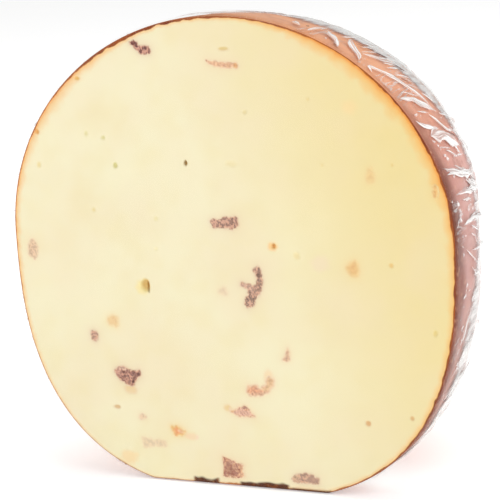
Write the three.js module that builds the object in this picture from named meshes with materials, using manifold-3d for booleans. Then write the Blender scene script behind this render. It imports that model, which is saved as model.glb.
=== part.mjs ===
// Half of a round ham cheese in clear film. It stands on its flattened side, with the cut face to the front.
// Millimetres, +Z up, front -Y. The origin is on the surface it stands on, under the middle of the whole.
import * as THREE from 'three';
import { mergeVertices } from 'three/addons/utils/BufferGeometryUtils.js';
import Module from 'manifold-3d';

const wasm = await Module();
wasm.setup();

// Driving dimensions of the cheese
const halfWidth = 70.6; // at the widest height of the cut face
const widestHeight = 74.4; // above the flattened side
const crownHeight = 65.6; // from the widest height up to the top
const bellyDepth = 78.1; // from the widest height down, before the side is flattened
const cheeseDepth = 95; // from the cut face back to the rounded end
const crownPower = 2; // superellipse powers of the cut face above and below the widest height
const bellyPower = 2.57;
const roundingPower = 2.12; // how the sections shrink towards the rounded end
const saggingPower = 3.6; // the same for the underside, which sags and stays flat for longer

// Film around it
const filmGap = 0.45;
const filmThickness = 0.55;
const filmMouthStation = 0.975; // share of the way to the rounded end where the film's mouth is

// Ham in its pockets
const pocketGap = 0.35;
const pocketExtraDepth = 0.4;
const knifeOvershoot = 2; // how far a pocket's cutter stands out of the cut face
const mitreLimit = 0.6; // keeps a widened outline's sharp corners from running far out
const mergeDistance = 1e-4; // points closer than this are one

// Smoothness
const outlineSteps = 64;
const depthSteps = 14;
const pitSides = 10;
const pitRows = 6;

const lift = filmGap + filmThickness; // the cheese stands on the film
const cutFaceY = -cheeseDepth / 2;

const material = (color, roughness, extra = {}) =>
  new THREE.MeshStandardMaterial({ color, roughness, metalness: 0, ...extra });

const cheeseColour = material(0xf3e9c0, 0.5);
const darkHam = material(0x8a4a42, 0.55);
const pinkHam = material(0xd99a80, 0.55);
const orangeHam = material(0xe8b77a, 0.55);
const filmColour = material(0xf4f6f6, 0.15, { transparent: true, opacity: 0.3 });

// A power that keeps the value's sign
const signedPower = (value, power) => Math.sign(value) * Math.abs(value) ** power;

// A point of the skin: turn runs round the cut face, station runs from it (0) to the rounded end (1), and
// grow moves the skin outwards, for the film.
function skinPoint(turn, station, grow) {
  const depth = cheeseDepth + grow;
  const sweep = (station * Math.PI) / 2;
  const along = Math.sin(sweep) ** (2 / roundingPower);
  const shrink = Math.cos(sweep) ** (2 / roundingPower);
  const sag = (1 - along ** saggingPower) ** (1 / saggingPower);
  const above = turn < Math.PI;
  const power = above ? crownPower : bellyPower;
  const height = above ? (crownHeight + grow) * shrink : (bellyDepth + grow) * sag;
  const x = (halfWidth + grow) * shrink * signedPower(Math.cos(turn), 2 / power);
  const z = widestHeight + height * signedPower(Math.sin(turn), 2 / power);
  return [x, cutFaceY + depth * along, Math.max(z, -grow) + lift];
}

function ring(station, grow) {
  return Array.from({ length: outlineSteps }, (_, i) =>
    skinPoint((i / outlineSteps) * 2 * Math.PI, station, grow)
  );
}

// Collects rings and single points and joins neighbours into triangles. A flipped one faces the other way.
function skinBuilder() {
  const positions = [];
  const index = [];
  const addPoints = (points) => {
    const first = positions.length / 3;
    points.forEach((p) => positions.push(...p));
    return first;
  };
  const addTriangle = (a, b, c, flip) => index.push(a, flip ? c : b, flip ? b : c);
  const joinRings = (near, far, flip = false) => {
    for (let i = 0; i < outlineSteps; i++) {
      const j = (i + 1) % outlineSteps;
      addTriangle(near + i, far + j, near + j, flip);
      addTriangle(near + i, far + i, far + j, flip);
    }
  };
  const joinToPoint = (rim, point, flip = false) => {
    for (let i = 0; i < outlineSteps; i++) {
      addTriangle(rim + i, point, rim + ((i + 1) % outlineSteps), flip);
    }
  };
  const geometry = () => {
    const result = new THREE.BufferGeometry();
    result.setAttribute('position', new THREE.Float32BufferAttribute(positions, 3));
    result.setIndex(index);
    return result;
  };
  return { addPoints, joinRings, joinToPoint, geometry };
}

function cheeseBlank() {
  const skin = skinBuilder();
  const face = skin.addPoints([[0, cutFaceY, widestHeight + lift]]);
  let previous = skin.addPoints(ring(0, 0));
  skin.joinToPoint(previous, face, true);
  for (let k = 1; k < depthSteps; k++) {
    const next = skin.addPoints(ring(k / depthSteps, 0));
    skin.joinRings(previous, next);
    previous = next;
  }
  const end = skin.addPoints([[0, cutFaceY + cheeseDepth, widestHeight + lift]]);
  skin.joinToPoint(previous, end);
  return skin.geometry();
}

// The film is one shell: an outer and an inner skin that meet round the mouth of the gather at the back
function filmShell() {
  const skin = skinBuilder();
  const layer = (grow, inward) => {
    const faceY = cutFaceY - grow;
    const face = skin.addPoints([[0, faceY, widestHeight + lift]]);
    const rim = skin.addPoints(ring(0, grow).map(([x, , z]) => [x, faceY, z]));
    skin.joinToPoint(rim, face, !inward);
    let previous = rim;
    for (let k = 1; k <= depthSteps; k++) {
      const next = skin.addPoints(ring(Math.min(k / depthSteps, filmMouthStation), grow));
      skin.joinRings(previous, next, inward);
      previous = next;
    }
    return previous;
  };
  const outerMouth = layer(filmGap + filmThickness, false);
  const innerMouth = layer(filmGap, true);
  skin.joinRings(outerMouth, innerMouth);
  return skin.geometry();
}

// A closed outline moved outwards by a distance, corner by corner
function widen(outline, distance) {
  const points = outline.map(([x, z]) => new THREE.Vector2(x, z));
  if (THREE.ShapeUtils.isClockWise(points)) points.reverse();
  return points.map((point, i) => {
    const before = points[(i + points.length - 1) % points.length];
    const after = points[(i + 1) % points.length];
    const sideA = new THREE.Vector2(point.y - before.y, before.x - point.x).normalize();
    const sideB = new THREE.Vector2(after.y - point.y, point.x - after.x).normalize();
    const corner = sideA.clone().add(sideB).normalize();
    const reach = distance / Math.max(corner.dot(sideA), mitreLimit);
    return [point.x + corner.x * reach, point.y + corner.y * reach];
  });
}

// A slab with this outline in the cut face's plane, from frontY back to frontY + depth
function slab(outline, [atX, atZ], frontY, depth) {
  const shape = new THREE.Shape(outline.map(([x, z]) => new THREE.Vector2(x, z)));
  const geometry = new THREE.ExtrudeGeometry(shape, { depth, bevelEnabled: false });
  geometry.rotateX(Math.PI / 2);
  geometry.translate(atX, frontY + depth, atZ + lift);
  return geometry;
}

function toSolid(geometry) {
  const bare = geometry.clone();
  bare.deleteAttribute('normal');
  bare.deleteAttribute('uv');
  const merged = mergeVertices(bare, mergeDistance);
  return new wasm.Manifold(
    new wasm.Mesh({
      numProp: 3,
      vertProperties: new Float32Array(merged.attributes.position.array),
      triVerts: new Uint32Array(merged.index.array)
    })
  );
}

function toGeometry(solid) {
  const mesh = solid.getMesh();
  const geometry = new THREE.BufferGeometry();
  geometry.setAttribute('position', new THREE.BufferAttribute(mesh.vertProperties, 3));
  geometry.setIndex(new THREE.BufferAttribute(mesh.triVerts, 1));
  return geometry;
}

// An oval outline with a little wobble, for the rounder dice
function oval(width, height, wobble = 0.08, corners = 10) {
  return Array.from({ length: corners }, (_, i) => {
    const turn = (i / corners) * 2 * Math.PI;
    const radius = 1 + wobble * Math.sin(3 * turn + width);
    return [(width / 2) * radius * Math.cos(turn), (height / 2) * radius * Math.sin(turn)];
  });
}

// Every dice of ham that the cut opened: where its middle is on the cut face (across, up), how deep it runs
// into the paste, and its outline around that middle.
const hamDice = [
  {
    name: 'ham_top_left', at: [-23.8, 131.0], deep: 5, look: darkHam,
    outline: [[-3.4, 1.6], [-2.0, 2.2], [-0.9, 1.8], [-0.4, 0.7], [1.6, 0.7], [3.2, 0.0], [3.4, -1.2],
      [2.6, -2.0], [0.3, -2.1], [-1.4, -0.6], [-2.7, 0.6]]
  },
  {
    name: 'ham_top_strip', at: [2.2, 125.9], deep: 4, look: pinkHam,
    outline: [[-4.8, 1.4], [0.8, 0.8], [4.6, 0.6], [4.8, -1.0], [0.1, -1.0], [-4.3, 0.2]]
  },
  {
    name: 'ham_centre', at: [0.0, 79.5], deep: 6, look: darkHam,
    outline: [[-4.4, 1.0], [-1.6, 1.1], [0.4, 1.9], [4.3, 1.9], [4.5, -0.8], [2.5, -1.9], [0.0, -1.5],
      [-3.8, -1.5]]
  },
  {
    name: 'ham_branch', at: [7.9, 61.0], deep: 6, look: darkHam,
    outline: [[1.9, 6.1], [3.1, 4.8], [3.5, 1.7], [2.9, -1.4], [1.3, -3.7], [0.1, -6.0], [-1.6, -6.8],
      [-3.0, -5.2], [-2.0, -2.9], [-1.6, -1.4], [-4.0, 0.2], [-3.2, 1.3], [-0.8, 0.5], [1.1, 0.6],
      [1.3, 2.8], [0.5, 4.8]]
  },
  {
    name: 'ham_heart', at: [-35.2, 31.2], deep: 7, look: darkHam,
    outline: [[-4.3, 1.8], [-2.7, 3.0], [-0.2, 2.7], [1.9, 1.8], [4.1, 2.3], [4.6, 0.5], [3.0, -1.2],
      [1.9, -3.2], [0.3, -3.2], [-2.4, -1.5], [-3.8, 0.0]]
  },
  {
    name: 'ham_chip_left', at: [-45.7, 43.2], deep: 4, look: darkHam,
    outline: [[-1.2, 1.2], [0.0, 1.8], [1.2, 1.0], [1.3, -0.8], [0.2, -1.9], [-1.0, -1.0]]
  },
  { name: 'ham_round_left', at: [-38.8, 48.2], deep: 4, look: orangeHam, outline: oval(4.6, 4.2) },
  { name: 'ham_rim_left', at: [-64.8, 69.5], deep: 5, look: pinkHam, outline: oval(4.0, 6.6) },
  { name: 'ham_right', at: [39.8, 67.4], deep: 5, look: orangeHam, outline: oval(4.6, 5.4, 0.12) },
  {
    name: 'ham_boot', at: [17.7, 40.7], deep: 4, look: pinkHam,
    outline: [[0.4, 2.4], [1.2, 0.5], [0.9, -1.4], [-0.3, -2.1], [-1.6, -1.7], [-0.9, -0.2]]
  },
  {
    name: 'ham_hook', at: [8.2, 30.4], deep: 6, look: pinkHam,
    outline: [[-4.1, -1.4], [-3.4, 0.3], [-0.8, 0.8], [0.7, 0.1], [2.2, 1.5], [3.0, 3.9], [5.1, 3.0],
      [5.1, 1.0], [2.8, -1.7], [-0.3, -2.9], [-2.8, -2.9]]
  },
  {
    name: 'ham_wedge', at: [2.3, 22.9], deep: 5, look: pinkHam,
    outline: [[-4.1, 0.7], [-2.6, 0.2], [1.1, 1.7], [2.9, 0.2], [4.1, -1.7], [-0.5, -2.0], [-3.6, -0.7]]
  },
  {
    name: 'ham_ember', at: [-19.1, 14.9], deep: 5, look: orangeHam,
    outline: [[-2.6, 1.4], [-0.2, 1.9], [2.4, 0.3], [1.9, -1.2], [-0.8, -1.7], [-2.1, -0.7]]
  },
  {
    name: 'ham_band', at: [-27.5, 10.7], deep: 4, look: pinkHam,
    outline: [[-4.1, 1.7], [0.0, 1.3], [4.0, 1.0], [4.1, -1.1], [0.3, -1.5], [-3.7, -1.9]]
  },
  { name: 'ham_crumb', at: [-31.0, 18.6], deep: 3, look: pinkHam, outline: oval(3.2, 2.0, 0.1, 8) },
  {
    name: 'ham_base_block', at: [-1.8, 5.2], deep: 7, look: pinkHam,
    outline: [[-2.8, 3.3], [0.4, 2.5], [3.8, 0.8], [3.5, -2.0], [0.6, -3.0], [-3.2, -2.0], [-2.5, 0.8]]
  },
  {
    name: 'ham_base_slab', at: [21.5, 3.3], deep: 6, look: darkHam,
    outline: [[-4.3, -0.2], [-2.3, 1.3], [0.8, 1.8], [4.3, 0.6], [4.2, -1.3], [-0.2, -1.6], [-3.3, -1.4]]
  },
  { name: 'ham_upper_right', at: [46.1, 94.4], deep: 4, look: orangeHam, outline: oval(3.4, 5.4, 0.1) },
  { name: 'ham_rim_right', at: [65.3, 90.4], deep: 4, look: orangeHam, outline: oval(2.2, 4.0, 0.06, 8) },
  { name: 'ham_faint_centre', at: [-1.5, 59.0], deep: 4, look: pinkHam, outline: oval(3.6, 3.2, 0.1, 8) }
];

// Small pits that the whey left, opened by the cut: middle (across, up), and their three half sizes
const pits = [
  { at: [-27.3, 59.6], size: [1.7, 2.2, 2.1] },
  { at: [-11.5, 97.0], size: [0.6, 0.8, 1.0] },
  { at: [15.3, 73.2], size: [0.9, 1.0, 1.0] }
];

function pitCutter({ at: [atX, atZ], size }) {
  const geometry = new THREE.SphereGeometry(1, pitSides, pitRows);
  geometry.scale(...size);
  geometry.translate(atX, cutFaceY, atZ + lift);
  return geometry;
}

function pocketCutter({ outline, at, deep }) {
  const depth = knifeOvershoot + deep + pocketExtraDepth;
  return slab(widen(outline, pocketGap), at, cutFaceY - knifeOvershoot, depth);
}

function cheeseBody() {
  const cutters = [...hamDice.map(pocketCutter), ...pits.map(pitCutter)];
  const body = cutters.reduce((solid, cutter) => solid.subtract(toSolid(cutter)), toSolid(cheeseBlank()));
  return toGeometry(body);
}

const cheese = new THREE.Group();

function addPiece(name, geometry, look) {
  const mesh = new THREE.Mesh(geometry, look);
  mesh.name = name;
  cheese.add(mesh);
}

addPiece('cheese_body', cheeseBody(), cheeseColour);
for (const dice of hamDice) {
  addPiece(dice.name, slab(dice.outline, dice.at, cutFaceY, dice.deep), dice.look.clone());
}
addPiece('film_wrap', filmShell(), filmColour);

export default cheese;
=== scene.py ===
import math
import random

import bpy
import numpy as np
from mathutils import Matrix, Vector
from mathutils.geometry import delaunay_2d_cdt
from mathutils.noise import noise as softNoise


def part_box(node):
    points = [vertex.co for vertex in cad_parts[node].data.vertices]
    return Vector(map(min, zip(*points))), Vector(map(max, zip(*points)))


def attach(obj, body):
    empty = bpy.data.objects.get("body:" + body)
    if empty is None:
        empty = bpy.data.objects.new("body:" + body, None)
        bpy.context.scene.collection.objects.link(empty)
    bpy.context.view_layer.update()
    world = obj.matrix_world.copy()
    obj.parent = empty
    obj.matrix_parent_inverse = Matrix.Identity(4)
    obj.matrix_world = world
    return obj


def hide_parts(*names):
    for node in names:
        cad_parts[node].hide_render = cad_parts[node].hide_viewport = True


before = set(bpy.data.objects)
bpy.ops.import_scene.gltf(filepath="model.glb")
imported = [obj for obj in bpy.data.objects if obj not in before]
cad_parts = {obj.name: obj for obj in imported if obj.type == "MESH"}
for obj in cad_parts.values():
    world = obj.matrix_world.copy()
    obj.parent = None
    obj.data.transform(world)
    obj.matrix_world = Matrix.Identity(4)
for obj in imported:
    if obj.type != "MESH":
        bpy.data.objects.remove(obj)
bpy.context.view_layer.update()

mm = 0.001

# Half of a ham cheese in clear film. Everything is in metres: the cut face looks to -Y, the rounded end
# to +Y, and the film's underside rests on z = 0.

cheeseLow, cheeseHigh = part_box("cheese_body")
wheel = {
    "halfWidth": (cheeseHigh.x - cheeseLow.x) / 2,
    "cutY": cheeseLow.y,
    "depth": cheeseHigh.y - cheeseLow.y,
    "standHeight": cheeseLow.z,
    "sole": 0.65 * mm,           # the flattened side sags this far into the film under it
    "topHeight": cheeseHigh.z,
    "widestHeight": 74.4 * mm,   # above the flattened side
    "bellyDepth": 78.1 * mm,     # how far the belly would reach down if it weren't flattened
    "crownPower": 2.0,           # superellipse powers of the cut face above and below its widest height
    "bellyPower": 2.57,
    "roundingPower": 2.12,       # how the sections shrink towards the rounded end
    "saggingPower": 3.6,         # the same for the underside, which stays flat for longer
}


def signedPower(value, power):
    return np.sign(value) * np.abs(value) ** power


def fade(low, high, value):   # 0 below low, 1 above high, smooth between; low may be the larger one
    share = np.clip((value - low) / (high - low), 0, 1)
    return share * share * (3 - 2 * share)


def noiseAt(points, size, shift=0.0):   # smooth noise, about -0.5 to 0.5, with bumps of this size
    scaled = np.asarray(points, float) / size + shift
    return np.array([softNoise(Vector(p)) for p in scaled.reshape(-1, 3)]).reshape(scaled.shape[:-1])


def linear(red, green, blue):   # a colour given in 0 to 255 steps, as the shaders want it
    return tuple(((c / 255 + 0.055) / 1.055) ** 2.4 if c > 10 else c / 255 / 12.92 for c in (red, green, blue))


def skin(turn, sweep, grow=0.0):   # turn runs round the cut face, sweep from it (0) to the rounded end (pi / 2)
    along = np.sin(sweep) ** (2 / wheel["roundingPower"])
    shrink = np.clip(np.cos(sweep), 0, 1) ** (2 / wheel["roundingPower"])
    sag = np.clip(1 - along ** wheel["saggingPower"], 0, 1) ** (1 / wheel["saggingPower"])
    above = np.sin(turn) >= 0
    power = np.where(above, wheel["crownPower"], wheel["bellyPower"])
    crown = wheel["topHeight"] - wheel["standHeight"] - wheel["widestHeight"]
    height = np.where(above, (crown + grow) * shrink, (wheel["bellyDepth"] + grow) * sag)
    x = (wheel["halfWidth"] + grow) * shrink * signedPower(np.cos(turn), 2 / power)
    z = wheel["widestHeight"] + height * signedPower(np.sin(turn), 2 / power)
    z = np.maximum(z, -grow - wheel["sole"]) + wheel["standHeight"]
    y = wheel["cutY"] + (wheel["depth"] + grow) * along
    return np.stack(np.broadcast_arrays(x, y, z), axis=-1)


def sweepAt(depth):   # the sweep whose section lies this far behind the cut face
    return np.arcsin(np.clip(depth / wheel["depth"], 0, 1) ** (wheel["roundingPower"] / 2))


def depthAt(sweep):
    return wheel["depth"] * np.sin(sweep) ** (2 / wheel["roundingPower"])


def turnsAroundRim(spacing):   # spacing is a function of the turn, in metres along the rim
    turns = np.linspace(0, 2 * math.pi, 20001)
    steps = np.linalg.norm(np.diff(skin(turns, 0.0), axis=0), axis=1)
    run = np.concatenate([[0], np.cumsum(steps / spacing((turns[1:] + turns[:-1]) / 2))])
    count = int(run[-1])
    return np.interp(np.arange(count) * run[-1] / count, run, turns)


def degreesOf(turn):   # -180 to 180
    return (np.degrees(turn) + 180) % 360 - 180


def gridNormals(grid):   # outward normals of a rows x columns grid that closes on itself along the columns
    across = np.roll(grid, -1, axis=1) - np.roll(grid, 1, axis=1)
    down = np.gradient(grid, axis=0)
    normals = np.cross(down, across)
    return normals / np.maximum(np.linalg.norm(normals, axis=2, keepdims=True), 1e-12)


def gridFaces(rows, columns, first=0):
    i, j = np.meshgrid(np.arange(rows - 1), np.arange(columns), indexing="ij")
    right = (j + 1) % columns
    a, b = first + i * columns + j, first + i * columns + right
    c, d = first + (i + 1) * columns + right, first + (i + 1) * columns + j
    return np.stack([a, d, c, b], axis=-1).reshape(-1, 4).tolist()


def tipFaces(count, columns):   # from the last row to the tip, which is the last of all points
    last = count - 1 - columns
    return [[last + j, count - 1, last + (j + 1) % columns] for j in range(columns)]


def addToScene(name, data):
    made = bpy.data.objects.new(name, data)
    bpy.context.scene.collection.objects.link(made)
    return made


def addPiece(name, points, faces, material, node, sharpAngle=60):
    mesh = bpy.data.meshes.new(name)
    mesh.from_pydata(np.asarray(points, float).tolist(), [], faces)
    mesh.shade_smooth()
    mesh.set_sharp_from_angle(angle=math.radians(sharpAngle))
    mesh.materials.append(material)
    piece = addToScene(name, mesh)
    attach(piece, "root")
    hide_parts(node)
    return piece


def paint(piece, name, values):   # a value, a vector or a colour for each point of the mesh
    values = np.asarray(values, np.float32)
    width = 1 if values.ndim == 1 else values.shape[1]
    kind, field = {1: ("FLOAT", "value"), 3: ("FLOAT_VECTOR", "vector"), 4: ("FLOAT_COLOR", "color")}[width]
    attribute = piece.data.attributes.new(name, kind, "POINT")
    attribute.data.foreach_set(field, values.ravel())


def segmentDistance(points, start, end):   # distance to a straight stretch
    run = end - start
    share = np.clip(((points - start) @ run) / max(run @ run, 1e-18), 0, 1)
    return np.linalg.norm(points - start - share[:, None] * run, axis=1)


def outlineDistance(points, outline):   # in the plane, below 0 inside
    nearest = np.full(len(points), 1e9)
    inside = np.zeros(len(points), bool)
    for start, end in zip(outline, np.roll(outline, -1, axis=0)):
        nearest = np.minimum(nearest, segmentDistance(points, start, end))
        crosses = (start[1] > points[:, 1]) != (end[1] > points[:, 1])
        slope = (end[0] - start[0]) / (end[1] - start[1] if end[1] != start[1] else 1e-12)
        inside ^= crosses & (points[:, 0] < start[0] + slope * (points[:, 1] - start[1]))
    return np.where(inside, -nearest, nearest)


def distanceNear(points, loop, reach, far):   # the same, but only worked out near the loop
    distance = np.full(len(points), far)
    close = np.all((points > loop.min(0) - reach) & (points < loop.max(0) + reach), axis=1)
    distance[close] = outlineDistance(points[close], loop)
    return distance


def plug(tree, made, values):   # a socket is linked, anything else is set as the socket's value
    for key, value in values.items():
        if isinstance(value, bpy.types.NodeSocket):
            tree.links.new(value, made.inputs[key])
        else:
            made.inputs[key].default_value = value


def addNode(tree, kind, settings=None, **inputs):   # Base_Color is the socket's name, in0 its number
    made = tree.nodes.new(kind)
    for key, value in (settings or {}).items():
        setattr(made, key, value)
    plug(tree, made, {int(key[2:]) if key[2:].isdigit() else key.replace("_", " "): value for key,
                      value in inputs.items()})
    return made


def mixColours(tree, factor, first, second):
    first, second = [(*tone, 1) if isinstance(tone, tuple) else tone for tone in (first, second)]
    return addNode(tree, "ShaderNodeMix", {"data_type": "RGBA"}, in0=factor, in6=first, in7=second).outputs[2]


def mixShaders(tree, share, first, second):
    return addNode(tree, "ShaderNodeMixShader", in0=share, in1=first, in2=second).outputs[0]


def calculate(tree, operation, first, second=0.0, third=0.0, clamp=False):
    return addNode(tree, "ShaderNodeMath", {"operation": operation, "use_clamp": clamp}, in0=first,
                   in1=second, in2=third).outputs[0]


def times(tree, first, second, clamp=False):
    return calculate(tree, "MULTIPLY", first, second, clamp=clamp)


def scaleAdd(tree, value, scale, added):
    return calculate(tree, "MULTIPLY_ADD", value, scale, added)


def remap(tree, value, low, high, bottom=0.0, top=1.0):
    return addNode(tree, "ShaderNodeMapRange", {"interpolation_type": "SMOOTHSTEP"}, in0=value, in1=low,
                   in2=high, in3=bottom, in4=top).outputs[0]


def objectPlace(tree):
    return addNode(tree, "ShaderNodeTexCoord").outputs["Object"]


def grainOf(tree, place, size, **more):   # a noise texture with grains of this size
    return addNode(tree, "ShaderNodeTexNoise", Vector=place, Scale=1 / size, **more).outputs["Fac"]


def attribute(tree, name, output="Fac"):
    return addNode(tree, "ShaderNodeAttribute", {"attribute_name": name}).outputs[output]


def newGroup(name, inputs, outputs):
    tree = bpy.data.node_groups.new(name, "ShaderNodeTree")
    for socketName, (kind, value) in inputs.items():
        socket = tree.interface.new_socket(socketName, in_out="INPUT", socket_type=kind)
        if value is not None:
            socket.default_value = value
    for socketName, kind in outputs.items():
        tree.interface.new_socket(socketName, in_out="OUTPUT", socket_type=kind)
    return tree, tree.nodes.new("NodeGroupInput").outputs, tree.nodes.new("NodeGroupOutput")


def useGroup(tree, group, **inputs):
    made = tree.nodes.new("ShaderNodeGroup")
    made.node_tree = group
    plug(tree, made, inputs)
    return made.outputs


def newMaterial(name):
    material = bpy.data.materials.new(name)
    material.use_nodes = True
    material.node_tree.nodes.clear()
    return material, material.node_tree


def finished(material, shader):
    addNode(material.node_tree, "ShaderNodeOutputMaterial", in0=shader)
    return material


number, colour = "NodeSocketFloat", "NodeSocketColor"


# blotches: a soft mask that is 1 in scattered patches of a given size
def makeBlotches():
    tree, inputs, result = newGroup("blotches",
                                    {"size": (number, 0.01), "cover": (number, 0.5),
                                     "softness": (number, 0.1), "detail": (number, 2.0),
                                     "seed": (number, 0.0)}, {"mask": number, "raw": number})
    place = objectPlace(tree)
    scale = calculate(tree, "DIVIDE", 1.0, inputs["size"])
    grain = addNode(tree, "ShaderNodeTexNoise", {"noise_dimensions": "4D"}, Vector=place, Scale=scale,
                    Detail=inputs["detail"], W=inputs["seed"]).outputs["Fac"]
    edge = calculate(tree, "SUBTRACT", 1.0, inputs["cover"])
    low = calculate(tree, "SUBTRACT", edge, inputs["softness"])
    high = calculate(tree, "ADD", edge, inputs["softness"])
    tree.links.new(remap(tree, grain, low, high), result.inputs["mask"])
    tree.links.new(grain, result.inputs["raw"])
    return tree


# the cheese paste's colour, creamy in the middle and faintly mottled, with painted shade that makes it darker
# and a deeper yellow to one side
pasteSettings = {
    "cream": linear(232, 224, 189),
    "yellow": linear(226, 206, 143),
    "blush": linear(230, 214, 182),
    "curd": linear(226, 211, 160),
    # the painted shade begins at the first of these and is full at the second
    "sideShadeFrom": 16 * mm,    # across, and higher up further to the left
    "sideShadeTo": 96 * mm,
    "cloudSize": 30 * mm,
    "curdSize": 9 * mm,
}


def makePasteToneAndShade():
    tree, inputs, result = newGroup("pasteToneAndShade", {"mottling": (number, 1.0)},
                                    {"colour": colour, "grain": number})
    blotches = bpy.data.node_groups["blotches"]
    place = objectPlace(tree)
    parts = addNode(tree, "ShaderNodeSeparateXYZ", Vector=place).outputs
    slanted = scaleAdd(tree, parts["Z"], 0.35, parts["X"])
    # painted shade: darker and a deeper yellow towards the upper right
    sideShade = remap(tree, slanted, pasteSettings["sideShadeFrom"], pasteSettings["sideShadeTo"])
    cloud = useGroup(tree, blotches, size=pasteSettings["cloudSize"], cover=0.5, softness=0.16, detail=3.0)
    curd = useGroup(tree, blotches, size=pasteSettings["curdSize"], cover=0.42, softness=0.2, detail=4.0,
                    seed=3.0)
    wander = scaleAdd(tree, cloud["raw"], 0.5, -0.25)
    share = calculate(tree, "ADD", sideShade, wander, clamp=True)
    tone = mixColours(tree, share, pasteSettings["cream"], pasteSettings["yellow"])
    blush = times(tree, times(tree, cloud["mask"], 0.5), inputs["mottling"])
    tone = mixColours(tree, blush, tone, pasteSettings["blush"])
    curdShare = times(tree, times(tree, curd["mask"], 0.4), inputs["mottling"])
    tone = mixColours(tree, curdShare, tone, pasteSettings["curd"])
    tree.links.new(tone, result.inputs["colour"])
    tree.links.new(curd["raw"], result.inputs["grain"])
    return tree


# meatFibre: short bundled fibres, as a mask for the dark ones and a height
def makeMeatFibre():
    tree, inputs, result = newGroup("meatFibre",
                                    {"size": (number, 1 * mm), "lean": (number, 0.6),
                                     "seed": (number, 0.0)},
                                    {"dark": number, "height": number, "fat": number})
    place = objectPlace(tree)
    turned = addNode(tree, "ShaderNodeVectorRotate", {"rotation_type": "Y_AXIS"}, Vector=place,
                     Angle=inputs["lean"]).outputs[0]
    stretched = addNode(tree, "ShaderNodeMapping", Vector=turned, Scale=(1.0, 1.0, 0.6)).outputs[0]
    scale = calculate(tree, "DIVIDE", 1.0, inputs["size"])
    strands = addNode(tree, "ShaderNodeTexNoise", {"noise_dimensions": "4D"}, Vector=stretched, Scale=scale,
                      Detail=4.0, Roughness=0.62, W=inputs["seed"], Distortion=0.35).outputs["Fac"]
    coarse = addNode(tree, "ShaderNodeTexNoise", {"noise_dimensions": "4D"}, Vector=place,
                     Scale=times(tree, scale, 0.4), Detail=2.0, W=inputs["seed"]).outputs["Fac"]
    both = scaleAdd(tree, coarse, 0.36, times(tree, strands, 0.64))
    tree.links.new(remap(tree, both, 0.475, 0.525), result.inputs["dark"])
    tree.links.new(both, result.inputs["height"])
    tree.links.new(remap(tree, strands, 0.6, 0.72), result.inputs["fat"])
    return tree


blotches = makeBlotches()
pasteToneAndShade = makePasteToneAndShade()
meatFibre = makeMeatFibre()
print("shared shader groups built")


def oval(width, height, wobble=0.08, corners=10):
    turns = np.arange(corners) / corners * 2 * math.pi
    radius = 1 + wobble * np.sin(3 * turns + width)
    return np.stack([width / 2 * radius * np.cos(turns), height / 2 * radius * np.sin(turns)], axis=1).tolist()


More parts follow.
